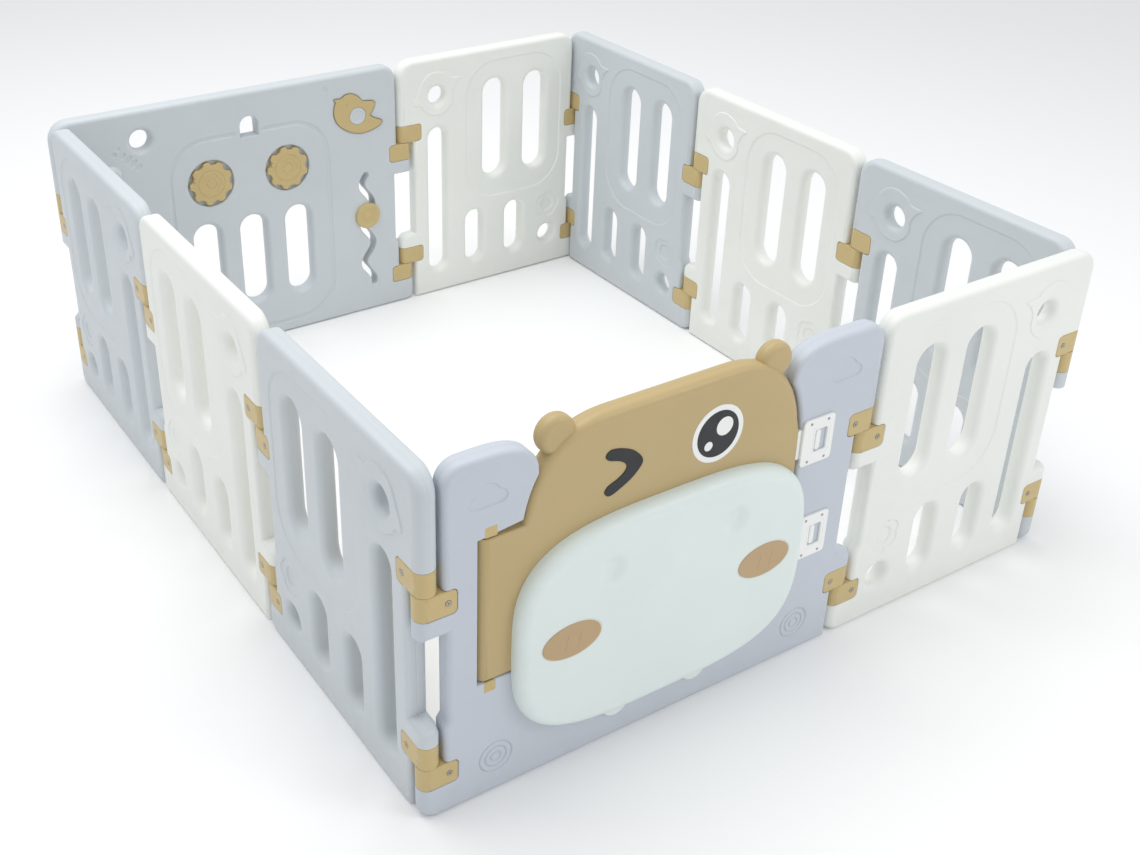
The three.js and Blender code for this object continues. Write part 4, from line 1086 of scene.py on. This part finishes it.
links.new(real.outputs["Geometry"], paint.inputs["Geometry"])
links.new(given.outputs["Material"], paint.inputs["Material"])
links.new(paint.outputs["Geometry"], result.inputs["Geometry"])


def screws(name, section, spots, size=1.0, body=None):
    """Screws at (x, y, z) spots of a section, facing outwards."""
    mesh = bpy.data.meshes.new(name)
    mesh.from_pydata(in_ring(section, spots).tolist(), [], [])
    out = in_ring(section, [(0, -1, 0)])[0] - in_ring(section, [(0, 0, 0)])[0]
    normals = np.tile(out / np.linalg.norm(out), (len(spots), 1)).astype(np.float32)
    mesh.attributes.new("facing", "FLOAT_VECTOR", "POINT").data.foreach_set("vector", normals.ravel())
    obj = placed(name, mesh)
    modifier = obj.modifiers.new("screws", "NODES")
    modifier.node_group = screw_tree
    modifier[sockets["Screw"]] = screw_source
    modifier[sockets["Size"]] = size
    modifier[sockets["Material"]] = steel
    bpy.context.view_layer.update()
    solved = obj.evaluated_get(bpy.context.evaluated_depsgraph_get())
    obj.data = bpy.data.meshes.new_from_object(solved)
    obj.modifiers.clear()
    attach(obj, body or BODY.get(section, section))
    made_pieces.append(obj)


SCREW_SEAT = DISH_DEPTH - HALF
LATCH_SCREW_OUT, LATCH_SCREW_UP, LATCH_SCREW_SIZE = 18, 35, 0.6
for name, pitch in pitches:
    heights = [(pitch - SCREW_FROM_AXIS, seam + CAP / 2) for seam in SEAMS]
    heights += [(SCREW_FROM_AXIS, seam - CAP / 2) for seam in SEAMS]
    screws(f"{name}_screws", name, [(x, SCREW_SEAT, z) for x, z in heights])
latch_spots = []
for x, z in LATCHES.values():
    for across in (-LATCH_SCREW_OUT, LATCH_SCREW_OUT):
        latch_spots += [(x + across, 0.4 - COVER_FRONT, z + up) for up in (-LATCH_SCREW_UP, LATCH_SCREW_UP)]
screws("latch_screws", "gate", latch_spots, LATCH_SCREW_SIZE)
bpy.data.objects.remove(screw_source)
print("pieces made:", len(made_pieces), "with", sum(len(o.data.polygons) for o in made_pieces), "faces")

# %% [markdown]
# ## Studio
# A plain product studio: a pale floor, one big soft light overhead and a broad fill from the camera's side,
# so the shadows are faint and the pressed-in pictures still show. The camera has a normal lens and stands
# high and to the left.

# %% Set the floor, lights and camera
FLOOR = 20.0
CAMERA_AT = (-1.4219, -2.1044, 1.6443)
CAMERA_TURN = (59.97, -0.72, -32.67)  # degrees
LENS, LENS_SHIFT = 44.9, (0.0593, -0.0403)
floor_mesh = bpy.data.meshes.new("floor")
floor_mesh.from_pydata([(-FLOOR, -FLOOR, 0), (FLOOR, -FLOOR, 0), (FLOOR, FLOOR, 0), (-FLOOR, FLOOR, 0)], [],
                       [(0, 1, 2, 3)])
floor = placed("floor", floor_mesh)
floor_material = bpy.data.materials.new("studio_floor")
floor_material.use_nodes = True
floor_shader = floor_material.node_tree.nodes["Principled BSDF"]
floor_shader.inputs["Base Color"].default_value = (0.95, 0.95, 0.95, 1)
floor_shader.inputs["Roughness"].default_value = 0.9
floor_mesh.materials.append(floor_material)

world = bpy.data.worlds.new("studio")
bpy.context.scene.world = world
world.use_nodes = True
world.node_tree.nodes["Background"].inputs["Color"].default_value = (0.97, 0.985, 1.0, 1)
world.node_tree.nodes["Background"].inputs["Strength"].default_value = 0.72


def area_light(name, size, power, location, target):
    data = bpy.data.lights.new(name, "AREA")
    data.size = size
    data.energy = power
    light = placed(name, data)
    light.location = location
    light.rotation_euler = (Vector(target) - Vector(location)).to_track_quat("-Z", "Y").to_euler()


area_light("overhead", 3.0, 66, (-0.6, 0.6, 3.4), (0, 0, 0))
area_light("fill", 1.4, 24, (1.8, -3.2, 2.4), (0, 0, 0.3))
bpy.context.scene.view_settings.view_transform = "Standard"

lens = bpy.data.cameras.new("camera")
lens.sensor_width = 36
lens.lens = LENS
lens.shift_x, lens.shift_y = LENS_SHIFT
camera = placed("camera", lens)
camera.location = CAMERA_AT
camera.rotation_euler = Euler([math.radians(a) for a in CAMERA_TURN])
bpy.context.scene.camera = camera
